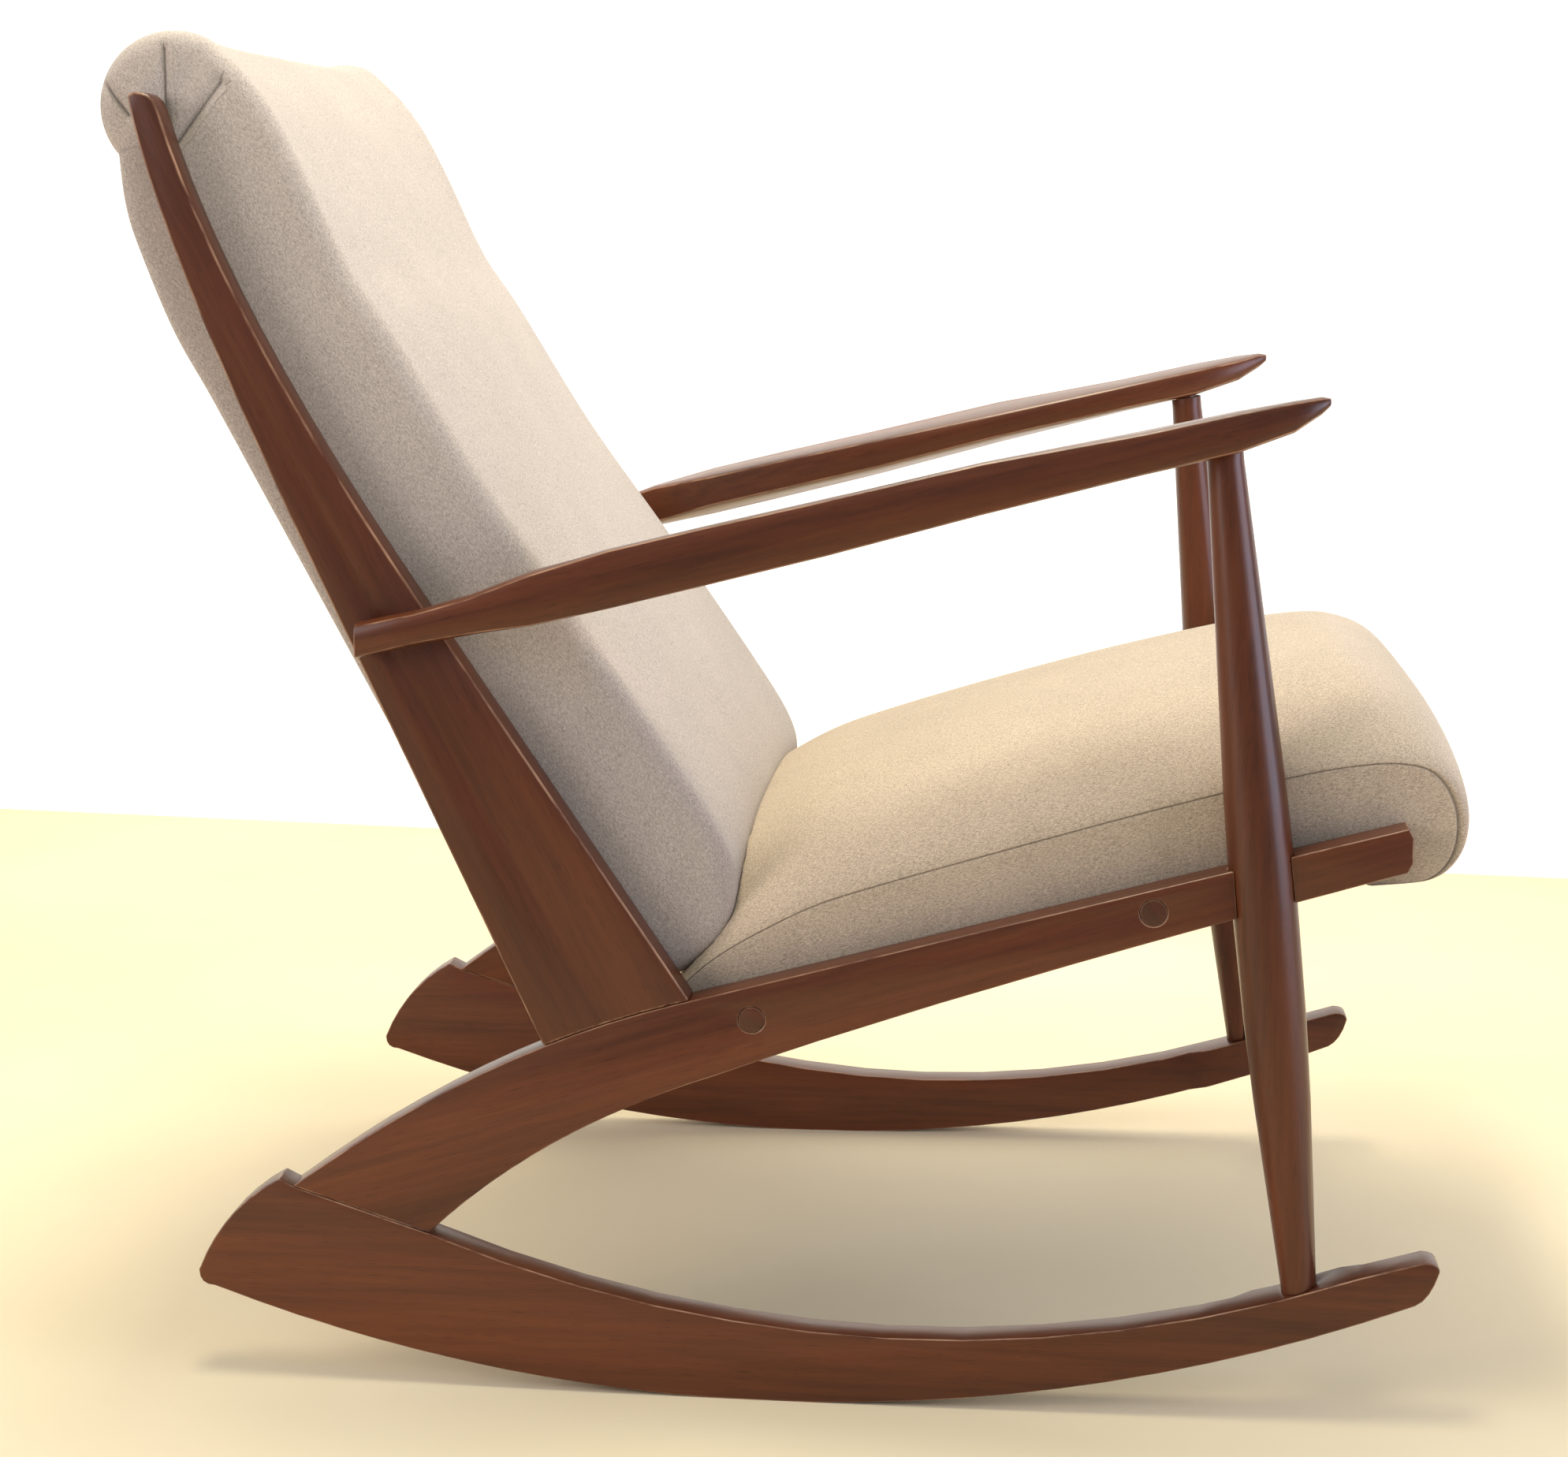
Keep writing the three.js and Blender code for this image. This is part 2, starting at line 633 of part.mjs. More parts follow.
function backCushionSkin(extra) {
  const outline = grown(backProfile, extra);
  const firstFront = outline.length - frontCount;
  const rings = cushionSteps.map((step) => {
    const dipShare = 1 - Math.min(1, Math.abs(step) / rollDipShare) ** 4;
    return outline.map((spot, i) => {
      const isFront = i >= firstFront;
      const isRoll = i >= backRear.length && !isFront;
      const crownShare = Math.sin(((i - firstFront) / (frontCount - 1)) * Math.PI) * (1 - step ** 2);
      const swell = isFront ? backCrown * crownShare - backSoftEdge * step ** 12 : 0;
      const inset = isFront ? backDrawIn * step ** 4 : 0;
      const dipped = isRoll ? spot.clone().lerp(roll, (rollDip / rollRadius) * dipShare) : spot.clone();
      const moved = dipped.addScaledVector(backForward, swell);
      const half = innerHalfAt(spot.y) - fitGap - inset + extra;
      return new THREE.Vector3(step * half, moved.x, moved.y);
    });
  });
  return solidOf(loft(rings, sideView));
}

// Points along the rear of the back and, at a depth, in front of it; strips at different depths nest.
const backSpine = new THREE.SplineCurve(backRear);
const backLength = backSpine.getLength();

function backStation(k, depth) {
  const along = backSpine.getTangentAt(k / backStations);
  const inward = new THREE.Vector2(-along.y, along.x);
  return backSpine.getPointAt(k / backStations).addScaledVector(inward, depth);
}

function backPoint(share, depth) {
  const k = Math.min(Math.floor(share * backStations), backStations - 1);
  return backStation(k, depth).lerp(backStation(k + 1, depth), share * backStations - k);
}

// A strip between two depths over a range of the back's length.
function backStrip(nearDepth, farDepth, fromShare, toShare) {
  const shares = [fromShare];
  for (let k = Math.floor(fromShare * backStations) + 1; k < toShare * backStations; k += 1) {
    shares.push(k / backStations);
  }
  shares.push(toShare);
  const near = shares.map((share) => backPoint(share, nearDepth));
  const far = shares.map((share) => backPoint(share, farDepth));
  return [...near, ...far.reverse()];
}

const backFrameNear = backPanelThickness + fitGap;
const backFrameFar = backFrameNear + stileDepth;
const backFrameFrom = backRailShares[0];
const backFrameTo = backRailShares[2] + backRailHeight / backLength;

// Seat upholstery
const seatSpot = place(seatLineShares);
const seatCosine = 1 / Math.hypot(1, seatSlope);
const seatLineAt = (y) => seatSpot.y - seatSlope * (y - seatSpot.x);
const seatFrameFront = -seatFrameFrontShare * reach;
const seatFrameRear = seatFrameRearShare * reach;

// A strip along the seat line, between two heights above it.
function seatStrip(fromY, toY, low, high) {
  const rise = new THREE.Vector2(seatSlope, 1).multiplyScalar(seatCosine);
  const front = new THREE.Vector2(fromY, seatLineAt(fromY));
  const rear = new THREE.Vector2(toY, seatLineAt(toY));
  return [
    front.clone().addScaledVector(rise, low),
    rear.clone().addScaledVector(rise, low),
    rear.clone().addScaledVector(rise, high),
    front.clone().addScaledVector(rise, high),
  ];
}

const seatTop = seatRailHeight / 2;
const seatTopPoints = seatTopShares.map(place);
const seatNosePoints = seatNoseShares.map(place);

function seatOutline() {
  const [underRear] = seatStrip(seatFrameRear + coverThickness + fitGap, seatFrameRear, -seatTop, 0);
  return [underRear, ...seatTopPoints, ...seatNosePoints];
}

const seatProfile = seatOutline();
const seatRise = new THREE.Vector2(seatSlope, 1).multiplyScalar(seatCosine);

function seatCushionSkin() {
  const topFirst = 1;
  const topLast = seatTopPoints.length;
  const noseLast = topLast + seatNosePoints.length;
  const rings = cushionSteps.map((step) =>
    seatProfile.map((spot, i) => {
      const isTop = i > topFirst && i <= topLast;
      const isNose = i > topLast && i <= noseLast;
      const noseShare = isNose ? 1 - (i - topLast) / (noseLast - topLast) : 0;
      const crownShare = isTop ? Math.sin(Math.min(1, (i - topFirst) / 4) * (Math.PI / 2)) : noseShare;
      const alongTop = THREE.MathUtils.clamp((i - topFirst) / (topLast - topFirst), 0, 1);
      const bow = seatBow * Math.sin(alongTop * Math.PI);
      const swell = (seatCrown * crownShare + bow) * (1 - step ** 4);
      const moved = spot.clone().addScaledVector(seatRise, swell);
      moved.x -= isNose ? seatNoseSwell * (1 - step ** 12) * Math.sin(noseShare * Math.PI) : 0;
      const above = THREE.MathUtils.clamp((spot.y - seatLineAt(spot.x) - seatTop) / seatRailHeight, 0, 1);
      const half = innerHalfAt(spot.y) - fitGap - seatDrawIn * above;
      return new THREE.Vector3(step * half, moved.x, moved.y);
    }),
  );
  return solidOf(loft(rings, sideView));
}

// One side frame, on the sitter's left
function sideFrame(side) {
  const frame = new THREE.Group();
  const add = (name, shape, finish) => frame.add(mesh(side + "_" + name, shape, finish));

  const runnerPlate = solidOf(shifted(plank(runnerProfile, -halfPlank, halfPlank), runnerShift));
  const bossMiddle = legFoot.y;
  const bossPlan = new THREE.Shape([
    new THREE.Vector2(-halfPlank, bossMiddle - bossLength / 2 - bossRun),
    new THREE.Vector2(-halfPlank - bossWidth, bossMiddle - bossLength / 2),
    new THREE.Vector2(-halfPlank - bossWidth, bossMiddle + bossLength / 2),
    new THREE.Vector2(-halfPlank, bossMiddle + bossLength / 2 + bossRun),
    new THREE.Vector2(0, bossMiddle + bossLength / 2 + bossRun),
    new THREE.Vector2(0, bossMiddle - bossLength / 2 - bossRun),
  ]);
  const bossBlock = new THREE.ExtrudeGeometry(bossPlan, { depth: stature / 2, bevelEnabled: false });
  const bossSlice = solidOf(plank(runnerProfile, -plankThickness, plankThickness));
  const boss = solidOf(shifted(geometryOf(solidOf(bossBlock).intersect(bossSlice)), runnerShift));
  const runnerKeep = solidOf(plank(grown(runnerProfile, fitGap), postHalf / 2, postHalf * 2));
  const [tenonBore, armBore] = legTenons(fitGap, fitGap);
  const runner = cutAll(runnerPlate.add(boss), [tenonBore, ...strutDowels(fitGap)]);
  add("runner", runner, finishes.rail);

  const shaft = legShaft(0).subtract(runnerKeep);
  const lapGap = fitGap / 2;
  const innerOfRail = framePlank(grown(railProfile, fitGap), -plankThickness * 2, lapGap);
  const outerOfRail = framePlank(grown(railProfile, cutOverrun), -lapGap, plankThickness * 2);
  const armBlank = armSolid();
  const armRoom = armBlank.add(armBlank.translate([0, 0, -fitGap]));
  const [footTenon, topTenon] = legTenons(0, 0);
  const leg = cutAll(shaft, [armRoom, innerOfRail]).add(footTenon).add(topTenon);
  add("front_leg", leg, finishes.rail);

  const boltCuts = boltSpots.flatMap(boltBores);
  const legRoom = legShaft(fitGap).intersect(outerOfRail);
  const rail = cutAll(framePlank(railProfile, -halfPlank, halfPlank), [
    runnerKeep,
    legRoom,
    ...boltCuts,
    ...strutDowels(fitGap),
    ...postDowels(fitGap),
  ]);
  add("side_rail", rail, finishes.rail);

  const railKeep = framePlank(grown(railProfile, fitGap), -plankThickness, plankThickness);
  const post = cutAll(framePlank(postOutline(), -halfPlank, halfPlank), [
    railKeep,
    ...postDowels(fitGap),
    ...armScrewSpots.map((spot) => armScrew(spot, fitGap, cutOverrun)),
    ...backBoltSpots.map((spot) => backBolt(spot, fitGap, cutOverrun)),
  ]);
  add("back_post", post, finishes.post);

  const arm = cutAll(armBlank, [armBore, ...armScrewSpots.map((spot) => armScrew(spot, fitGap, 0))]);
  add("armrest", arm, finishes.rail);

  const ends = ["rear", "front"];
  boltSpots.forEach((spot, i) => add("rail_bolt_" + ends[i], boltOf(spot), finishes.steel));
  boltSpots.forEach((spot, i) => add("rail_plug_" + ends[i], plugOf(spot), finishes.plug));
  strutDowels(0).forEach((dowel, i) => add("strut_dowel_" + (i + 1), dowel, finishes.inner));
  postDowels(0).forEach((dowel, i) => add("post_dowel_" + (i + 1), dowel, finishes.inner));
  armScrewSpots.forEach((spot, i) => add("arm_screw_" + (i + 1), armScrew(spot, 0, 0), finishes.steel));
  backBoltSpots.forEach((spot, i) => add("back_bolt_" + ["lower", "upper"][i], backBolt(spot, 0, 0), finishes.steel));

  const railOuter = -halfPlank - 2 * fitGap - coverThickness;
  const seatSide = cutAll(
    framePlank(seatStrip(seatFrameFront, seatFrameRear, -seatTop, seatTop), railOuter - seatRailThickness, railOuter),
    [legShaft(fitGap + coverThickness), ...boltCuts],
  );
  add("seat_side_rail", seatSide, finishes.inner);

  const stile = cutAll(
    framePlank(
      backStrip(backFrameNear, backFrameFar, backFrameFrom, backFrameTo),
      railOuter - stileThickness,
      railOuter,
    ),
    backBoltSpots.map((spot) => backBolt(spot, fitGap, cutOverrun)),
  );
  add("back_stile", stile, finishes.inner);
  return frame;
}

// Seat frame and cushion, the same on both sides of the middle
const bothSides = (cutters) => cutters.flatMap((cutter) => [cutter, cutter.mirror([1, 0, 0])]);
const frameInset = coverThickness + 2 * fitGap;
const pocketInset = coverThickness + fitGap;
const betweenRails = frameInset + seatRailThickness + fitGap;
const betweenStiles = frameInset + stileThickness + fitGap;

// A triangular block in a corner of the seat frame
function cornerBlock(cornerY, direction) {
  const inner = -halfPlank - betweenRails;
  const plan = new THREE.Shape([
    new THREE.Vector2(inner, cornerY),
    new THREE.Vector2(inner, cornerY + direction * blockSide),
    new THREE.Vector2(inner - blockSide, cornerY),
  ]);
  const geometry = new THREE.ExtrudeGeometry(plan, { depth: blockThickness, bevelEnabled: false });
  const spots = geometry.attributes.position;
  for (let i = 0; i < spots.count; i += 1) {
    const y = spots.getY(i);
    const height = spots.getZ(i) - blockThickness / 2;
    spots.setY(i, y + seatRise.x * height);
    spots.setZ(i, seatLineAt(y) + seatRise.y * height);
  }
  return solidOf(shifted(geometry, frameHalfAt));
}

function seatPieces() {
  const seat = new THREE.Group();
  const add = (name, shape, finish) => seat.add(mesh(name, shape, finish));
  const legCuts = bothSides([legShaft(fitGap + coverThickness)]);
  const board = (fromY, toY, low, high, inset) => solidOf(crossBoard(seatStrip(fromY, toY, low, high), inset));

  const frontInside = seatFrameFront + seatRailThickness;
  const rearInside = seatFrameRear - seatRailThickness;
  const frontRail = board(seatFrameFront, frontInside, -seatTop - frontRailDrop, seatTop, betweenRails);
  add("seat_front_rail", frontRail, finishes.inner);
  add("seat_rear_rail", board(rearInside, seatFrameRear, -seatTop, seatTop, betweenRails), finishes.inner);

  const frontBlock = cornerBlock(frontInside + fitGap, 1);
  const rearBlock = cornerBlock(rearInside - fitGap, -1);
  add("seat_block_front_left", frontBlock, finishes.inner);
  add("seat_block_front_right", frontBlock.mirror([1, 0, 0]), finishes.inner);
  add("seat_block_rear_left", rearBlock, finishes.inner);
  add("seat_block_rear_right", rearBlock.mirror([1, 0, 0]), finishes.inner);

  const pitch = (rearInside - frontInside) / seatStrapCount;
  const strapLow = seatTop + fitGap;
  for (let i = 0; i < seatStrapCount; i += 1) {
    const middle = frontInside + (i + 1 / 2) * pitch;
    const near = middle - seatStrapWidth / 2;
    const strap = board(near, near + seatStrapWidth, strapLow, strapLow + strapThickness, frameInset);
    add("seat_strap_" + (i + 1), cutAll(strap, legCuts), finishes.strap);
  }

  const clothHigh = -seatTop - fitGap;
  const cloth = board(frontInside + fitGap, seatFrameRear, clothHigh - baseClothThickness, clothHigh, frameInset);
  add("seat_base_cloth", cutAll(cloth, legCuts), finishes.cloth);

  const pocketTop = strapLow + strapThickness + fitGap;
  const pocket = board(seatFrameFront - fitGap, seatFrameRear + fitGap, -reach, pocketTop, pocketInset);
  const cushion = cutAll(seatCushionSkin(), [
    pocket,
    backCushionSkin(fitGap),
    ...bothSides([legShaft(fitGap), ...boltSpots.flatMap(boltBores)]),
  ]);
  add("seat_cushion", cushion, finishes.fabric);
  return seat;
}

function backPieces() {
  const back = new THREE.Group();
  const add = (name, shape, finish) => back.add(mesh(name, shape, finish));
  const board = (near, far, from, to, inset) => solidOf(crossBoard(backStrip(near, far, from, to), inset));
  const railSpan = backRailHeight / backLength;
  const strapSpan = backStrapHeight / backLength;
  const strapNear = backFrameFar + fitGap;

  ["bottom", "middle", "top"].forEach((place, i) => {
    const from = backRailShares[i];
    const rail = board(backFrameNear, backFrameNear + backRailDepth, from, from + railSpan, betweenStiles);
    add("back_" + place + "_rail", rail, finishes.inner);
  });
  backStrapShares.forEach((from, i) => {
    const strap = board(strapNear, strapNear + strapThickness, from, from + strapSpan, frameInset);
    add("back_strap_" + (i + 1), strap, finishes.strap);
  });
  add("back_outer_panel", board(0, backPanelThickness, backFrameFrom, backFrameTo, frameInset), finishes.fabric);

  const pocketFar = strapNear + strapThickness + fitGap;
  const slack = fitGap / backLength;
  const pocket = board(-cutOverrun, pocketFar, backFrameFrom - slack, backFrameTo + slack, pocketInset);
  const boltRooms = backBoltSpots.map((spot) => backBolt(spot, fitGap, 0));
  const cushion = cutAll(backCushionSkin(0), [pocket, ...bothSides(boltRooms)]);
  add("back_cushion", cushion, finishes.fabric);
  return back;
}

// The whole chair, centred between its foremost and rearmost points
function chair() {
  const pieces = new THREE.Group();
  const right = sideFrame("right");
  right.scale.x = -1;
  pieces.add(sideFrame("left"), right, seatPieces(), backPieces());
  const box = new THREE.Box3().setFromObject(pieces, true);
  pieces.position.y = -(box.min.y + box.max.y) / 2;
  const whole = new THREE.Group();
  whole.name = "rocking_chair";
  whole.add(pieces);
  return whole;
}

const group = chair();

export default group;
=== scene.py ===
"""A wooden rocking chair with an upholstered seat and high back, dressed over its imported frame.
Metres; +Z is up, -Y is the way the sitter faces, +X is the sitter's left."""

import json
import math

import bmesh
import bpy
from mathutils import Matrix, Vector
from mathutils.bvhtree import BVHTree
from mathutils.kdtree import KDTree


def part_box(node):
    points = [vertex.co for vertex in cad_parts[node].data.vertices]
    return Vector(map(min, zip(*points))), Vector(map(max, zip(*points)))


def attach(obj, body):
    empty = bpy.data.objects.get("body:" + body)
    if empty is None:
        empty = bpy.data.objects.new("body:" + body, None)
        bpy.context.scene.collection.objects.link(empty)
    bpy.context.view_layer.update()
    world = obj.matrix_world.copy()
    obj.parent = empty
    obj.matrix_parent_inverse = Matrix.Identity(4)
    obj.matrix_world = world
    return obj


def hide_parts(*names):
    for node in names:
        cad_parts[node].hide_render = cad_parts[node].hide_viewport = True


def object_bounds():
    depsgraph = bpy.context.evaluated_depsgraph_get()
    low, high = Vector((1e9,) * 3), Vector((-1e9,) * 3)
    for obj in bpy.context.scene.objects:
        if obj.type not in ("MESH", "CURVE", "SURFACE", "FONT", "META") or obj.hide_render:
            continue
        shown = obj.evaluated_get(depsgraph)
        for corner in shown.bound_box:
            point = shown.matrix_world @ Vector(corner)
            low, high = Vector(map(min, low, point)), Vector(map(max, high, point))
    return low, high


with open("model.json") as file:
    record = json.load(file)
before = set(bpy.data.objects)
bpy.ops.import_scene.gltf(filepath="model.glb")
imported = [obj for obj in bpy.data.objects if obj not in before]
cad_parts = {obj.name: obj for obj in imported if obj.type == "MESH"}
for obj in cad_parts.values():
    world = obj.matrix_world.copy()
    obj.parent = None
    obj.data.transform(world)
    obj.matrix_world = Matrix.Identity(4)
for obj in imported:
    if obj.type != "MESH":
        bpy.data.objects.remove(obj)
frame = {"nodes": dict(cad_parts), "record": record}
cad_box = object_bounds()

MM = 0.001

# Camera, from the photograph
CAMERA_SIDE = -2.0925
CAMERA_ALONG = -0.1785  # from where the runners touch the floor
CAMERA_HEIGHT = 0.791
CAMERA_YAW = math.radians(5.238)  # from +X towards +Y
CAMERA_PITCH = math.radians(10.373)  # below the horizon
LENS_PIXELS = 3600
PHOTO_WIDTH = 1989
SENSOR_WIDTH = 36

# The side view is measured from where the runners touch the floor
CONTACT_SHARE = 0.533  # of the runner's length, from its front tip
LEAN_RATIO = 0.028  # the side frames lean in by this much of their height
FIT_GAP = 0.3 * MM

# Seat: its seam in the side view, as shares of the runner's length and of the chair's height
SEAT_TOP_SHARES = [
    (0.082, 0.272), (0.074, 0.3), (0.06, 0.316), (0.037, 0.3326), (0.007, 0.3492), (-0.035, 0.3691),
    (-0.086, 0.3856), (-0.204, 0.4188), (-0.31, 0.4475), (-0.414, 0.4729), (-0.466, 0.482), (-0.496, 0.4835),
]
SEAT_NOSE_SHARES = [
    (-0.518, 0.4793), (-0.532, 0.4652), (-0.5395, 0.445), (-0.538, 0.4221), (-0.529, 0.4066),
    (-0.515, 0.398), (-0.474, 0.3935),
]
SEAT_BASE_SHARES = [(0.085, 0.256), (-0.44, 0.395), (-0.472, 0.3935)]
SEAT_SLOPE = 0.29
SEAT_CROWN = 50 * MM
SEAT_BOW = 7 * MM
SEAT_NOSE_SWELL = 16 * MM
SEAT_DRAW_IN = 2.5 * MM
SEAT_TUCK = 6 * MM  # how far the side goes in at the seat frame
SEAT_STEP = 9 * MM
SEAT_EDGE_POWER = 0.62  # the lower, the squarer the seat's cross-section
SEAT_CROWN_POWER = 1.25
SEAT_SWELL_POWER = 0.35
NOSE_CROWN_POWER = 0.8  # how the crown fades round the nose
SEAT_FOOT_LEAD = 1.08  # how far the foot runs ahead of the seam
CROWN_RISE_RINGS = 10
POCKET_RISE_RINGS = 3
POCKET_FALL_RINGS = 8
SEAT_POCKET = 38 * MM  # height of the hollow that takes the seat frame
COVER_THICKNESS = 7.5 * MM
SEAM_DEPTH = 1.3 * MM

# Back: rear line, front line and head roll, in the same shares
BACK_REAR_SHARES = [
    (0.2101, 0.3315), (0.3974, 0.6552), (0.4454, 0.7381), (0.473, 0.7834), (0.4958, 0.8343),
    (0.509, 0.8718), (0.5138, 0.9149),
]
BACK_FRONT_SHARES = [
    (0.0744, 0.311), (0.0408, 0.3326), (0.0312, 0.3509), (0.0288, 0.3796), (0.0324, 0.4033),
    (0.0576, 0.4464), (0.151, 0.5735), (0.234, 0.6818), (0.3045, 0.789), (0.3365, 0.8343),
    (0.3695, 0.9028), (0.3935, 0.947), (0.4175, 0.9768),
]
ROLL_SHARES = (0.4715, 0.948)
ROLL_GATHER_SHARES = (0.4742, 0.913)  # where the pleats run together
ROLL_RADIUS = 51 * MM
ROLL_START = 2.05  # radians, at the front
ROLL_END = -0.72
ROLL_DIP = 8 * MM  # the roll is slimmer in its middle
ROLL_DIP_SHARE = 1.0
ROLL_DIP_POWER = 5
DIP_FROM_SHARE = 0.66  # of the back's front, from where it leads into the roll
ROLL_STEP = 4 * MM
PLEAT_SHARES = [
    ((0.5225, 0.9615), (0.504, 0.941)),
    ((0.4748, 0.9885), (0.4737, 0.935)),
    ((0.432, 0.965), (0.467, 0.92)),
]
PLEAT_DEPTH = 3 * MM
PLEAT_WIDTH = 6 * MM
PLEAT_REACH = 2.5  # roll edge radii in from the end
ROLL_SAG = 1 * MM  # how far the roll's filling hangs to the rear
BACK_CROWN = 6 * MM
BACK_EDGE_RADIUS = 16 * MM
ROLL_EDGE_RADIUS = 17 * MM
BACK_DRAW_IN = 8 * MM
ROLL_DRAW_IN_LOSS = 0.75  # of the draw-in, at the roll
BACK_SIDE_POWER = 2.2
ROLL_ONSET = 5
POCKET_ONSET = 25
BACK_STEP = 10 * MM
BACK_POCKET = 86.5 * MM  # depth of the hollow that takes the back's frame
PANEL_THICKNESS = 6 * MM
PANEL_FROM_SHARE = 0.03
PANEL_TO_SHARE = 0.965

# Wood
ARRIS_RADIUS = 1.0 * MM
ARRIS_RADII = {
    "back_post": 1.8 * MM,
    "front_leg": 0.3 * MM,
    "rail_plug_front": 0.3 * MM,
    "rail_plug_rear": 0.3 * MM,
}
ARRIS_SEGMENTS = 3
SHARP_ANGLE = math.radians(34)
FLAT_ANGLE = math.radians(0.7)  # faces nearer to level than this are joined
WELD_DISTANCE = 1e-6


# Places in the side view
def chair_measures():
    low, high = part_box("left_runner")
    reach = high.y - low.y
    return low.y + CONTACT_SHARE * reach, reach, cad_box[1].z


contact, reach, stature = chair_measures()
post_low, post_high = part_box("left_back_post")


def place(shares):
    along, up = shares
    return Vector((0, contact + along * reach, up * stature))


def inner_half(height):
    """Half the room between the side frames, at a height."""
    return post_low.x + LEAN_RATIO * (post_high.z - height)


def smooth_line(points, step):
    """A Catmull-Rom line through the points, resampled at equal steps."""
    ends = [2 * points[0] - points[1], *points, 2 * points[-1] - points[-2]]
    fine = []
    for before, start, end, after in zip(ends, ends[1:], ends[2:], ends[3:]):
        for k in range(16):
            t = k / 16
            fine.append(
                0.5 * (2 * start + (end - before) * t + (2 * before - 5 * start + 4 * end - after) * t**2
                       + (3 * start - before - 3 * end + after) * t**3)
            )
    fine.append(points[-1].copy())
    return resampled(fine, step)


def resampled(line, step):
    lengths = [0.0]
    for a, b in zip(line, line[1:]):
        lengths.append(lengths[-1] + (b - a).length)
    count = max(2, round(lengths[-1] / step))
    return [along_line(line, lengths, lengths[-1] * i / count) for i in range(count + 1)]


def along_line(line, lengths, distance):
    for k in range(len(line) - 1):
        if distance <= lengths[k + 1] or k == len(line) - 2:
            run = lengths[k + 1] - lengths[k]
            return line[k].lerp(line[k + 1], min(1, (distance - lengths[k]) / run))


def at_share(line, share):
    spot = share * (len(line) - 1)
    k = min(int(spot), len(line) - 2)
    return line[k].lerp(line[k + 1], spot - k)


def ease(t):
    t = min(1.0, max(0.0, t))
    return t * t * (3 - 2 * t)


# Materials
class Finish:
    """A material that is being put together from nodes."""

    def __init__(self, name, **settings):
        self.material = bpy.data.materials.new(name)
        self.material.use_nodes = True
        self.tree = self.material.node_tree
        self.shader = self.tree.nodes["Principled BSDF"]
        self.set(self.shader, settings)

    def set(self, node, values):
        for name, value in values.items():
            socket = node.inputs[name.replace("_", " ")]
            if isinstance(value, bpy.types.NodeSocket):
                self.tree.links.new(value, socket)
            else:
                socket.default_value = value

    def node(self, kind, inputs=None, **attributes):
        made = self.tree.nodes.new("ShaderNode" + kind)
        for name, value in attributes.items():
            setattr(made, name, value)
        self.set(made, inputs or {})
        return made

    def math(self, operation, *values):
        made = self.node("Math", operation=operation)
        for socket, value in zip(made.inputs, values):
            if isinstance(value, bpy.types.NodeSocket):
                self.tree.links.new(value, socket)
            else:
                socket.default_value = value
        return made.outputs[0]

    def noise(self, vector, scale, detail=3.0, roughness=0.5):
        made = self.node("TexNoise", {"Scale": scale, "Detail": detail, "Roughness": roughness})
        self.tree.links.new(vector, made.inputs["Vector"])
        return made.outputs["Fac"]

    def stretch(self, vector, scale, turn=(0, 0, 0)):
        made = self.node("Mapping", {"Scale": scale, "Rotation": turn})
        self.tree.links.new(vector, made.inputs["Vector"])
        return made.outputs["Vector"]

    def ramp(self, factor, *stops):
        made = self.node("ValToRGB")
        elements = made.color_ramp.elements
        while len(elements) < len(stops):
            elements.new(0.5)
        for element, (position, colour) in zip(elements, stops):
            element.position = position
            element.color = (*colour, 1)
        self.tree.links.new(factor, made.inputs["Fac"])
        return made.outputs["Color"]

    def mix(self, factor, first, second, blend="MIX"):
        made = self.node("Mix", data_type="RGBA", blend_type=blend)
        for socket, value in zip((made.inputs[0], made.inputs[6], made.inputs[7]), (factor, first, second)):
            if isinstance(value, bpy.types.NodeSocket):
                self.tree.links.new(value, socket)
            else:
                socket.default_value = value if isinstance(value, (int, float)) else (*value, 1)
        return made.outputs[2]

    def bump(self, height, strength, distance):
        made = self.node("Bump", {"Strength": strength, "Distance": distance, "Height": height})
        self.tree.links.new(made.outputs["Normal"], self.shader.inputs["Normal"])

    def finish(self, **values):
        self.set(self.shader, values)
        return self.material


def object_places(finish):
    return finish.node("TexCoord").outputs["Object"]


def lacquered_wood(name, deep, light, wear_and_highlight_tone, lean, sheen=0.16):
    """Dark lacquered wood whose straight grain runs at an angle in the side view."""
    wood = Finish(name, Coat_Weight=sheen, Coat_Roughness=0.2, Specular_IOR_Level=0.34)
    places = wood.stretch(object_places(wood), (1, 1, 1), (-lean, 0, 0))
    broad = wood.noise(wood.stretch(places, (26, 1.6, 26)), 1.0, 3)
    streaks = wood.noise(wood.stretch(places, (170, 7, 170)), 1.0, 6, 0.62)
    pores = wood.noise(wood.stretch(places, (1500, 60, 1500)), 1.0, 2)
    tone = wood.math("ADD", wood.math("MULTIPLY", broad, 0.55), wood.math("MULTIPLY", streaks, 0.45))
    grain = wood.ramp(tone, (0.34, deep), (0.66, light))
    pitted = wood.math("GREATER_THAN", pores, 0.64)
    speckled = wood.mix(wood.math("MULTIPLY", pitted, 0.35), grain, tuple(c * 0.45 for c in deep))
    # The pale colour along the rounded arrises is partly wear and partly a painted highlight, broken up by
    # noise.
    wear_and_highlight_patches = wood.noise(wood.stretch(places, (90, 14, 90)), 1.0, 4, 0.7)
    edge = wood.node("Attribute", attribute_name="wear_and_highlight").outputs["Fac"]
    wear_and_highlight = wood.math("MULTIPLY", edge, wood.math("SUBTRACT", wood.math("MULTIPLY", wear_and_highlight_patches, 4.5), 1.7))
    wear_and_highlight.node.use_clamp = True
    colour = wood.mix(wear_and_highlight, speckled, wear_and_highlight_tone)
    gloss = wood.math("ADD", wood.math("MULTIPLY", streaks, 0.16), 0.27)
    wood.bump(wood.math("SUBTRACT", streaks, wood.math("MULTIPLY", pitted, 0.5)), 0.12, 0.0004)
    return wood.finish(Base_Color=colour, Roughness=gloss)


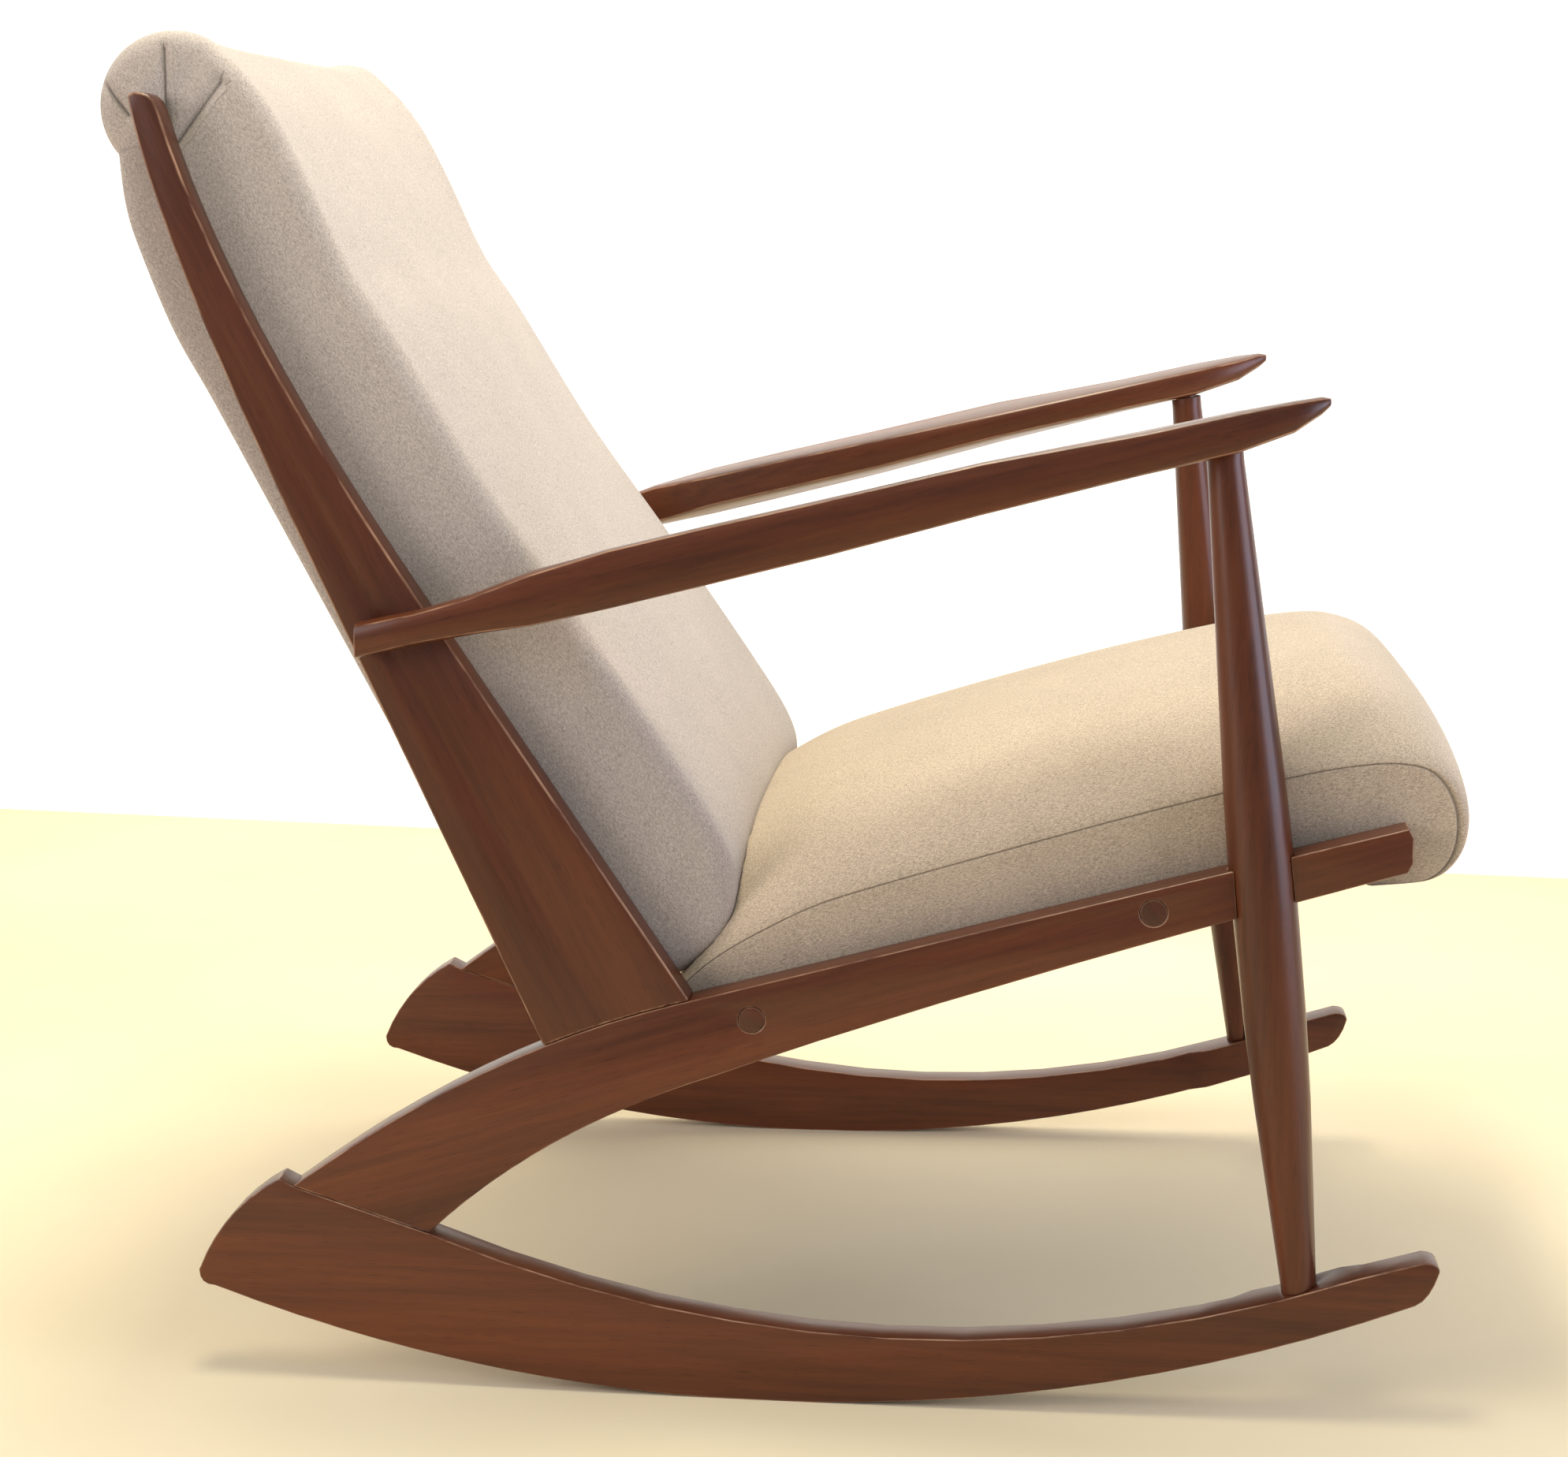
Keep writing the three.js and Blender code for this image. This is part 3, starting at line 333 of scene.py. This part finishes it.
def woven_cloth(name, dark, light, lean, pleats=0):
    """Fine melange cloth; the warp runs at an angle in the side view and the weft across the chair. Its seam
    and pleat grooves carry painted shade.
    """
    cloth = Finish(name, Sheen_Weight=0.18, Sheen_Roughness=0.45, Specular_IOR_Level=0.2, Roughness=0.93)
    places = cloth.stretch(object_places(cloth), (1, 1, 1), (-lean, 0, 0))
    weft = cloth.noise(cloth.stretch(places, (420, 1700, 1700)), 1.0, 2, 0.7)
    warp = cloth.noise(cloth.stretch(places, (1700, 420, 1700)), 1.0, 2, 0.7)
    cloud = cloth.noise(places, 14.0, 3)
    fleck = cloth.math("ADD", cloth.math("MULTIPLY", weft, 0.5), cloth.math("MULTIPLY", warp, 0.5))
    tone = cloth.math("ADD", fleck, cloth.math("MULTIPLY", cloth.math("SUBTRACT", cloud, 0.5), 0.06))
    colour = cloth.ramp(tone, (0.36, dark), (0.62, light))
    # Painted shade: the seam and the pleat grooves are darkened towards a deep tone of the cloth.
    line = cloth.node("Attribute", attribute_name="seam").outputs["Fac"]
    for number in range(pleats):
        beside = cloth.node("Attribute", attribute_name=f"pleat_{number}").outputs["Fac"]
        near = cloth.math("SUBTRACT", 1.0, cloth.math("ABSOLUTE", beside))
        near.node.use_clamp = True
        line = cloth.math("MAXIMUM", line, cloth.math("POWER", near, 5.0))
    colour = cloth.mix(cloth.math("MULTIPLY", line, 0.7), colour, tuple(c * 0.25 for c in dark))
    cloth.bump(fleck, 0.35, 0.0005)
    return cloth.finish(Base_Color=colour)


def bare_wood(name, lean):
    wood = Finish(name, Specular_IOR_Level=0.3)
    places = wood.stretch(object_places(wood), (120, 9, 120), (-lean, 0, 0))
    streaks = wood.noise(places, 1.0, 5, 0.6)
    wood.bump(streaks, 0.2, 0.0004)
    return wood.finish(
        Base_Color=wood.ramp(streaks, (0.35, (0.42, 0.26, 0.13)), (0.65, (0.62, 0.45, 0.26))),
        Roughness=wood.math("ADD", wood.math("MULTIPLY", streaks, 0.2), 0.5),
    )


def zinc_steel(name):
    steel = Finish(name, Metallic=1.0)
    spots = steel.noise(object_places(steel), 900.0, 4)
    steel.bump(spots, 0.1, 0.0002)
    return steel.finish(
        Base_Color=steel.ramp(spots, (0.3, (0.42, 0.42, 0.41)), (0.7, (0.6, 0.6, 0.58))),
        Roughness=steel.math("ADD", steel.math("MULTIPLY", spots, 0.25), 0.25),
    )


def plain_weave(name, dark, light, pitch):
    """Coarse plain weave, such as webbing or lining."""
    cloth = Finish(name, Roughness=0.95, Specular_IOR_Level=0.15)
    places = object_places(cloth)
    across = cloth.node("TexWave", {"Scale": 1 / pitch, "Distortion": 1.5}, bands_direction="X")
    along = cloth.node("TexWave", {"Scale": 1 / pitch, "Distortion": 1.5}, bands_direction="Y")
    for wave in (across, along):
        cloth.tree.links.new(places, wave.inputs["Vector"])
    threads = cloth.math("MULTIPLY", across.outputs["Fac"], along.outputs["Fac"])
    fibres = cloth.noise(places, 700.0, 4)
    tone = cloth.math("ADD", cloth.math("MULTIPLY", threads, 0.6), cloth.math("MULTIPLY", fibres, 0.4))
    cloth.bump(tone, 0.5, 0.0006)
    return cloth.finish(Base_Color=cloth.ramp(tone, (0.2, dark), (0.7, light)))


# Meshes
def new_piece(name, mesh, material):
    piece = bpy.data.objects.new(name, mesh)
    bpy.context.scene.collection.objects.link(piece)
    mesh.materials.clear()
    mesh.materials.append(material)
    return piece


def with_modifiers(piece):
    """The piece's mesh with its modifiers applied."""
    seen = piece.evaluated_get(bpy.context.evaluated_depsgraph_get())
    mesh = bpy.data.meshes.new_from_object(seen)
    piece.modifiers.clear()
    piece.data = mesh
    return mesh


def rounded_wood(node, material, radius):
    """Stands for a wooden CAD node, with its arrises rounded over and marked for wear and a painted
    highlight.
    """
    mesh = frame["nodes"][node].data.copy()
    shape = bmesh.new()
    shape.from_mesh(mesh)
    bmesh.ops.remove_doubles(shape, verts=shape.verts, dist=WELD_DISTANCE)
    bmesh.ops.dissolve_limit(shape, angle_limit=FLAT_ANGLE, verts=shape.verts, edges=shape.edges)
    for face in shape.faces:
        face.smooth = True
    shape.to_mesh(mesh)
    shape.free()
    piece = new_piece(node + "_wood", mesh, material)
    mesh.materials.append(material)
    bevel = piece.modifiers.new("arris", "BEVEL")
    bevel.width = radius
    bevel.segments = ARRIS_SEGMENTS
    bevel.limit_method = "ANGLE"
    bevel.angle_limit = SHARP_ANGLE
    bevel.use_clamp_overlap = False
    bevel.harden_normals = True
    bevel.material = 1
    mark_wear_and_highlight(with_modifiers(piece))
    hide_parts(node)
    return piece


def mark_wear_and_highlight(mesh):
    """Full wear and painted highlight inside the rounded arrises, none where they run out."""
    wear_and_highlight = [1.0] * len(mesh.vertices)
    for polygon in mesh.polygons:
        if polygon.material_index == 0:
            for vertex in polygon.vertices:
                wear_and_highlight[vertex] = 0.0
        polygon.material_index = 0
    mesh.attributes.new("wear_and_highlight", "FLOAT", "POINT").data.foreach_set("value", wear_and_highlight)


END_SUPPORT = 0.12  # how near the first and last rings a further ring keeps the ends square


def lofted(name, rings, material, seams=()):
    """A closed skin over rings of points. seams are the ring places that lie on a seam."""
    count = len(rings[0])
    after_first = [a.lerp(b, END_SUPPORT) for a, b in zip(rings[0], rings[1])]
    before_last = [a.lerp(b, END_SUPPORT) for a, b in zip(rings[-1], rings[-2])]
    rings = [rings[0], after_first, *rings[1:-1], before_last, rings[-1]]
    shape = bmesh.new()
    seam_layer = shape.verts.layers.float.new("seam")
    vertices = [[shape.verts.new(point) for point in ring] for ring in rings]
    for ring in vertices:
        for place_in_ring in seams:
            ring[place_in_ring][seam_layer] = 1.0
    for near, far in zip(vertices, vertices[1:]):
        for i in range(count):
            j = (i + 1) % count
            shape.faces.new((near[i], near[j], far[j], far[i]))
    shape.faces.new(list(reversed(vertices[0])))
    shape.faces.new(vertices[-1])
    bmesh.ops.recalc_face_normals(shape, faces=shape.faces)
    for face in shape.faces:
        face.smooth = True
    mesh = bpy.data.meshes.new(name)
    shape.to_mesh(mesh)
    shape.free()
    return new_piece(name, mesh, material)


def subdivided(piece, levels):
    smooth = piece.modifiers.new("smooth", "SUBSURF")
    smooth.levels = smooth.render_levels = levels
    with_modifiers(piece)
    return piece


# Padding
PUFF_VOXEL = 8 * MM
PUFF_FRAMES = 20
PUFF_PRESSURE = 4
SEAT_PUFF = 2.5 * MM
BACK_PUFF = 1.8 * MM


def settle(piece, limit):
    """Lets a cloth simulation swell the cover over its padding, by no more than the limit."""
    rest, moved = simulated(piece)
    shifts = [there - here for here, there in zip(rest, moved)]
    largest = max(shift.length for shift in shifts)
    tree = KDTree(len(rest))
    for i, here in enumerate(rest):
        tree.insert(here, i)
    tree.balance()
    for vertex in piece.data.vertices:
        near = tree.find_n(vertex.co, 6)
        weights = [1 / (distance + MM) for _, _, distance in near]
        shift = sum((shifts[i] * w for (_, i, _), w in zip(near, weights)), Vector()) / sum(weights)
        shift *= limit / largest
        if shift.x * vertex.co.x > 0:
            shift.x = 0
        vertex.co += shift


def simulated(piece):
    """A remeshed copy's points before and after its cover was blown up against the frame."""
    copy = new_piece(piece.name + "_blown", piece.data.copy(), piece.data.materials[0])
    remesh = copy.modifiers.new("remesh", "REMESH")
    remesh.mode = "VOXEL"
    remesh.voxel_size = PUFF_VOXEL
    mesh = with_modifiers(copy)
    rest = [vertex.co.copy() for vertex in mesh.vertices]
    held = copy.vertex_groups.new(name="held")
    held.add([v.index for v in mesh.vertices if inner_half(v.co.z) - abs(v.co.x) < PUFF_VOXEL], 1, "REPLACE")
    cloth = copy.modifiers.new("cloth", "CLOTH")
    cloth.settings.quality = 5
    cloth.settings.use_pressure = True
    cloth.settings.uniform_pressure_force = PUFF_PRESSURE
    cloth.settings.effector_weights.gravity = 0
    cloth.settings.vertex_group_mass = "held"
    cloth.point_cache.frame_start, cloth.point_cache.frame_end = 1, PUFF_FRAMES
    for number in range(1, PUFF_FRAMES + 1):
        bpy.context.scene.frame_set(number)
    moved = [vertex.co.copy() for vertex in with_modifiers(copy).vertices]
    bpy.data.objects.remove(copy)
    bpy.context.scene.frame_set(1)
    return rest, moved


# Seat cushion
SEAT_ACROSS = [0, 0.1, 0.2, 0.3, 0.4, 0.5, 0.6, 0.7, 0.8, 0.88, 0.94, 0.975, 0.992, 1]  # of a quarter turn
SEAT_DOWN = [0.012, 0.04, 0.12, 0.28, 0.46, 0.64, 0.82]


def seat_rings():
    outline = smooth_line([place(s) for s in SEAT_TOP_SHARES + SEAT_NOSE_SHARES], SEAT_STEP)
    base = smooth_line([place(s) for s in SEAT_BASE_SHARES], SEAT_STEP)
    rise = Vector((0, SEAT_SLOPE, 1)).normalized()
    nose_at = place(SEAT_TOP_SHARES[-1])
    last = len(outline) - 1
    top_last = min(range(last + 1), key=lambda i: (outline[i] - nose_at).length)
    rings = []
    for i, spot in enumerate(outline):
        nose = max(0.0, (i - top_last) / (last - top_last))
        bow = SEAT_BOW * math.sin(min(1, i / top_last) * math.pi)
        crown = rise * (SEAT_CROWN * ease(i / CROWN_RISE_RINGS) * (1 - nose) ** NOSE_CROWN_POWER + bow)
        swell = Vector((0, -SEAT_NOSE_SWELL * math.sin(nose * math.pi), 0))
        foot = at_share(base, min(1.0, i / last * SEAT_FOOT_LEAD))
        hollow = ease(i / POCKET_RISE_RINGS) * ease((last - i) / POCKET_FALL_RINGS)
        pocket = rise * (SEAT_POCKET * hollow)
        rings.append(seat_ring(spot, foot, crown, swell, pocket))
    return rings


def seat_ring(spot, foot, crown, swell, pocket):
    seam_half = inner_half(spot.z) - FIT_GAP - SEAT_DRAW_IN
    foot_half = inner_half(foot.z) - FIT_GAP - SEAT_TUCK

    def top(turn):
        angle = turn * math.pi / 2
        share = math.sin(angle) ** SEAT_EDGE_POWER
        drop = max(0, math.cos(angle))
        point = spot + crown * drop**SEAT_CROWN_POWER + swell * drop**SEAT_SWELL_POWER
        return Vector((share * seam_half, point.y, point.z))

    def side(share):
        point = spot.lerp(foot, share)
        half = seam_half + (foot_half - seam_half) * share**2
        return Vector((half, point.y, point.z))

    half_ring = [top(s) for s in SEAT_ACROSS] + [side(s) for s in SEAT_DOWN] + [side(1)]
    seam = len(SEAT_ACROSS) - 1
    half_ring[seam] -= (half_ring[seam] - (spot + foot) / 2).normalized() * SEAM_DEPTH
    inner = inner_half(foot.z) - FIT_GAP - COVER_THICKNESS
    half_ring += [Vector((inner, foot.y, foot.z)), Vector((inner, *(foot + pocket).yz))]
    return mirrored_ring(half_ring)


def mirrored_ring(half_ring):
    """A closed ring from the half that starts on the middle plane."""
    return half_ring + [Vector((-p.x, p.y, p.z)) for p in reversed(half_ring[1:])]


def seat_cushion(material, back):
    seam = len(SEAT_ACROSS) - 1
    rings = seat_rings()
    piece = lofted("seat_cushion_cover", rings, material, seams=(seam, len(rings[0]) - seam))
    subdivided(piece, 2)
    settle(piece, SEAT_PUFF)
    press_under(piece, back)
    return piece


def press_under(piece, above):
    """Presses a cushion down to just below the piece that stands on it."""
    rise = Vector((0, SEAT_SLOPE, 1)).normalized()
    tree = BVHTree.FromObject(above, bpy.context.evaluated_depsgraph_get())
    run_up = 0.2
    for vertex in piece.data.vertices:
        hit = tree.ray_cast(vertex.co - rise * run_up, rise)[0]
        if hit is not None:
            room = (hit - vertex.co).dot(rise) - 2 * FIT_GAP
            if room < 0:
                vertex.co += rise * room


# Back cushion
BACK_ACROSS = [0, 0.15, 0.3, 0.45, 0.6, 0.73, 0.84, 0.93, 1]
BACK_CORNER = [0.2, 0.4, 0.6, 0.8]
BACK_DOWN = [0.06, 0.14, 0.24, 0.36, 0.48, 0.6, 0.74, 0.88]


def back_lines():
    front = smooth_line([place(s) for s in BACK_FRONT_SHARES], BACK_STEP)
    rear = smooth_line([place(s) for s in BACK_REAR_SHARES], BACK_STEP)
    centre = place(ROLL_SHARES)
    steps = round(ROLL_RADIUS * (ROLL_START - ROLL_END) / ROLL_STEP)
    roll = []
    for i in range(steps + 1):
        angle = ROLL_START + (ROLL_END - ROLL_START) * i / steps
        radius = ROLL_RADIUS + ROLL_SAG * max(0, math.cos(1.3 * angle))
        roll.append(centre + Vector((0, math.cos(angle), math.sin(angle))) * radius)
    roll.append(roll[-1].lerp(rear[-1], 0.7))
    return front, rear, roll


def back_rungs():
    """The rungs of the back's side, each as its front end, turning point and rear end,
    with its place along the front and round the roll."""
    front, rear, roll = back_lines()
    gather = place(ROLL_GATHER_SHARES)
    rungs = []
    for i, tip in enumerate(front):
        along = i / (len(front) - 1)
        root = at_share(rear, along)
        turn = ((tip + root) / 2).lerp(gather, ease((along - 0.88) / 0.12))
        rungs.append((tip, turn, root, along, 0.0))
    for i, tip in enumerate(roll):
        rungs.append((tip, gather, rear[-1], 1.0, (i + 1) / (len(roll) + 1)))
    return rungs


def back_ring(rung):
    tip, turn, root, along, round_roll = rung
    on_roll = ease(round_roll * ROLL_ONSET)
    sunk = ease((along - DIP_FROM_SHARE) / (1 - DIP_FROM_SHARE))
    radius = BACK_EDGE_RADIUS + (ROLL_EDGE_RADIUS - BACK_EDGE_RADIUS) * on_roll
    half = inner_half(tip.z) - FIT_GAP - BACK_DRAW_IN * (1 - ROLL_DRAW_IN_LOSS * on_roll)
    root_half = inner_half(root.z) - FIT_GAP
    out = (tip - turn).normalized()

    def crowned(x, drop):
        share = x / half
        dip = ROLL_DIP * (1 - min(1, share / ROLL_DIP_SHARE) ** ROLL_DIP_POWER) * sunk
        crown = BACK_CROWN * math.sin(along * math.pi) * (1 - share**2)
        return Vector((x, *(tip + out * (crown - dip - drop)).yz))

    def corner(share):
        angle = share * math.pi / 2
        return crowned(half - radius + radius * math.sin(angle), radius * (1 - math.cos(angle)))

    def side(share):
        start = tip - out * radius
        point = start.lerp(turn, share).lerp(turn.lerp(root, share), share)
        return Vector((root_half + (half - root_half) * (1 - share) ** BACK_SIDE_POWER, *point.yz))

    half_ring = [crowned(s * (half - radius), 0) for s in BACK_ACROSS] + [corner(s) for s in BACK_CORNER]
    half_ring += [side(0)] + [side(s) for s in BACK_DOWN] + [side(1)]
    opened = ease((along - PANEL_FROM_SHARE) * POCKET_ONSET)
    pocket = BACK_POCKET * opened * ease((PANEL_TO_SHARE - along) * POCKET_ONSET)
    inner = root_half - COVER_THICKNESS
    forward = Vector((0, -0.88, 0.47))
    half_ring += [Vector((inner, *root.yz)), Vector((inner, *(root + forward * pocket).yz))]
    return mirrored_ring(half_ring)


def back_cushion(material):
    piece = lofted("back_cushion_cover", [back_ring(rung) for rung in back_rungs()], material)
    subdivided(piece, 2)
    settle(piece, BACK_PUFF)
    sew_pleats(piece.data)
    return piece


def sew_pleats(mesh):
    """Draws the pleats into the ends of the head roll.
    Each pleat's attribute is the signed distance from it."""
    normals = [vertex.normal.copy() for vertex in mesh.vertices]
    for number, shares in enumerate(PLEAT_SHARES):
        start, end = (place(s) for s in shares)
        run = end - start
        across = Vector((0, -run.z, run.y)).normalized()
        beside = mesh.attributes.new(f"pleat_{number}", "FLOAT", "POINT").data
        for vertex, normal in zip(mesh.vertices, normals):
            beside[vertex.index].value = 1
            on_end = abs(vertex.co.x) - inner_half(vertex.co.z) + PLEAT_REACH * ROLL_EDGE_RADIUS
            if on_end < 0:
                continue
            spot = Vector((0, *vertex.co.yz)) - start
            past = max(0, -spot.dot(run), (spot - run).dot(run)) / run.length
            signed = spot.dot(across)
            distance = math.hypot(signed, past) / PLEAT_WIDTH
            if distance < 1:
                beside[vertex.index].value = math.copysign(distance, signed)
                vertex.co -= normal * (PLEAT_DEPTH * (1 - distance) ** 2)


# Outer panel of the back
PANEL_PROFILE = [(0, 0), (0.3, 0), (0.6, 0), (0.85, 0), (0.95, 0.02), (0.985, 0.15), (1, 0.55), (1, 1)]


def outer_panel(material):
    rear = smooth_line([place(s) for s in BACK_REAR_SHARES], BACK_STEP)
    rings = []
    for i, spot in enumerate(rear):
        share = i / (len(rear) - 1)
        if not PANEL_FROM_SHARE <= share <= PANEL_TO_SHARE:
            continue
        ahead = (rear[min(i + 1, len(rear) - 1)] - rear[max(i - 1, 0)]).normalized()
        inward = Vector((0, -ahead.z, ahead.y))
        half = inner_half(spot.z) - COVER_THICKNESS - 1.1 * MM
        ring = []
        for across, depth in PANEL_PROFILE:
            ring.append(Vector((across * half, *(spot + inward * (depth * PANEL_THICKNESS)).yz)))
        rings.append(mirrored_ring(ring))
    return subdivided(lofted("back_outer_panel_cover", rings, material), 1)


# Stage
def make_camera():
    camera = bpy.data.objects.new("camera", bpy.data.cameras.new("camera"))
    bpy.context.scene.collection.objects.link(camera)
    camera.data.sensor_fit = "HORIZONTAL"
    camera.data.sensor_width = SENSOR_WIDTH
    camera.data.lens = LENS_PIXELS / PHOTO_WIDTH * SENSOR_WIDTH
    camera.location = (CAMERA_SIDE, contact + CAMERA_ALONG, CAMERA_HEIGHT)
    camera.rotation_euler = (math.pi / 2 - CAMERA_PITCH, 0, CAMERA_YAW - math.pi / 2)
    bpy.context.scene.camera = camera


def plain_paint(name, dark, light, glow=0.0):
    paint = Finish(name, Roughness=0.75, Specular_IOR_Level=0.25)
    paint.finish(Emission_Color=(1, 1, 1, 1), Emission_Strength=glow)
    cloud = paint.noise(object_places(paint), 1.6, 5)
    return paint.finish(Base_Color=paint.ramp(cloud, (0.35, dark), (0.65, light)))


def stage_sheet(name, corners, material):
    mesh = bpy.data.meshes.new(name)
    mesh.from_pydata(corners, [], [(0, 1, 2, 3)])
    sheet = new_piece(name, mesh, material)
    return sheet


def make_room():
    """A floor sheet and a white wall behind the chair, whose foot is the photograph's horizon."""
    near_foot, far_foot = Vector((1.77, 3.5, 0)), Vector((1.06, -3, 0))
    ahead = Vector((-6, 0, 0))
    up = Vector((0, 0, 3.2))
    floor = plain_paint("floor_paint", (0.82, 0.68, 0.44), (0.88, 0.74, 0.5))
    stage_sheet("floor", [near_foot + ahead, far_foot + ahead, far_foot, near_foot], floor)
    wall = plain_paint("wall_paint", (0.86, 0.86, 0.86), (0.9, 0.9, 0.9), 0.25)
    stage_sheet("wall", [near_foot, far_foot, far_foot + up, near_foot + up], wall)


# Lights: place, aim, width and height, power and colour
LIGHTS = {
    "overhead": ((0.2, -0.4, 2.9), (0, 0, 0.3), (2.4, 2.4), 15, (1, 0.87, 0.7)),
    "window": ((-1.0, -3.0, 1.1), (0, 0, 0.5), (2.0, 1.8), 60, (0.76, 0.78, 1)),
    "wall_wash": ((0.55, 0.2, 2.6), (1.45, 0.2, 0.8), (0.5, 3.0), 61, (1, 0.97, 0.78)),
    "rear_side": ((-1.7, 2.4, 1.3), (0, 0.1, 0.5), (1.4, 1.4), 43, (1, 0.93, 0.95)),
}
AMBIENT = (0.36, (0.62, 0.82, 1))


def area_light(name, spot, target, size, power, colour):
    lamp = bpy.data.lights.new(name, "AREA")
    lamp.shape = "RECTANGLE"
    lamp.size, lamp.size_y = size
    lamp.energy = power
    lamp.color = colour
    light = bpy.data.objects.new(name, lamp)
    bpy.context.scene.collection.objects.link(light)
    light.location = spot
    light.rotation_euler = (Vector(target) - Vector(spot)).to_track_quat("-Z", "Y").to_euler()
    light.visible_camera = False


def make_light():
    world = bpy.data.worlds.new("studio")
    world.use_nodes = True
    strength, colour = AMBIENT
    world.node_tree.nodes["Background"].inputs["Color"].default_value = (*colour, 1)
    world.node_tree.nodes["Background"].inputs["Strength"].default_value = strength
    bpy.context.scene.world = world
    for name, values in LIGHTS.items():
        area_light(name, *values)


# The whole chair
SEAT_LEAN = -0.29  # radians, of the weave in the side view
BACK_LEAN = 1.0
SEAT_TONES = (0.285, 0.217, 0.153), (0.69, 0.543, 0.4)
BACK_TONES = (0.26, 0.214, 0.181), (0.6, 0.503, 0.434)


def dress():
    cover = woven_cloth("cover_cloth", *SEAT_TONES, SEAT_LEAN)
    pleated = woven_cloth("back_cover_cloth", *BACK_TONES, BACK_LEAN, len(PLEAT_SHARES))
    back = back_cushion(pleated)
    pieces = [(back, "back_cushion"), (seat_cushion(cover, back), "seat_cushion"),
              (outer_panel(cover), "back_outer_panel")]
    for piece, node in pieces:
        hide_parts(node)
        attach(piece, "root")


WOODS = {
    "runner": ("frame_wood", 0.0),
    "side_rail": ("frame_wood", -0.29),
    "front_leg": ("frame_wood", math.pi / 2),
    "armrest": ("frame_wood", -0.25),
    "back_post": ("post_wood", 1.09),
    "rail_plug_front": ("plug_wood", 0.9),
    "rail_plug_rear": ("plug_wood", 0.4),
}
TONES = {
    "frame_wood": ((0.064, 0.0155, 0.004), (0.155, 0.038, 0.01)),
    "post_wood": ((0.05, 0.012, 0.0037), (0.117, 0.029, 0.0085)),
    "plug_wood": ((0.045, 0.013, 0.005), (0.1, 0.028, 0.01)),
}
# Colour of the arrises: wear and a painted highlight.
WEAR_AND_HIGHLIGHT_TONE = (0.36, 0.19, 0.11)


def dress_wood():
    for part, (slot, lean) in WOODS.items():
        deep, light = TONES[slot]
        material = lacquered_wood(part + "_lacquer", deep, light, WEAR_AND_HIGHLIGHT_TONE, lean)
        for side in ("left", "right"):
            piece = rounded_wood(f"{side}_{part}", material, ARRIS_RADII.get(part, ARRIS_RADIUS))
            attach(piece, "root")


def dress_inside():
    finishes = {
        "inner_wood": bare_wood("inner_wood", 0.0),
        "steel": zinc_steel("zinc_steel"),
        "webbing": plain_weave("jute_webbing", (0.2, 0.14, 0.08), (0.5, 0.4, 0.26), 0.02),
        "lining": plain_weave("dark_lining", (0.02, 0.02, 0.02), (0.07, 0.065, 0.06), 0.008),
    }
    for part in frame["record"]["subparts"]:
        finish = finishes.get(part["material_slot"])
        if finish:
            node = frame["nodes"][part["node"]]
            node.data.materials.clear()
            node.data.materials.append(finish)


bpy.context.scene.view_settings.view_transform = "Standard"
make_camera()
dress_wood()
dress()
dress_inside()
make_room()
make_light()
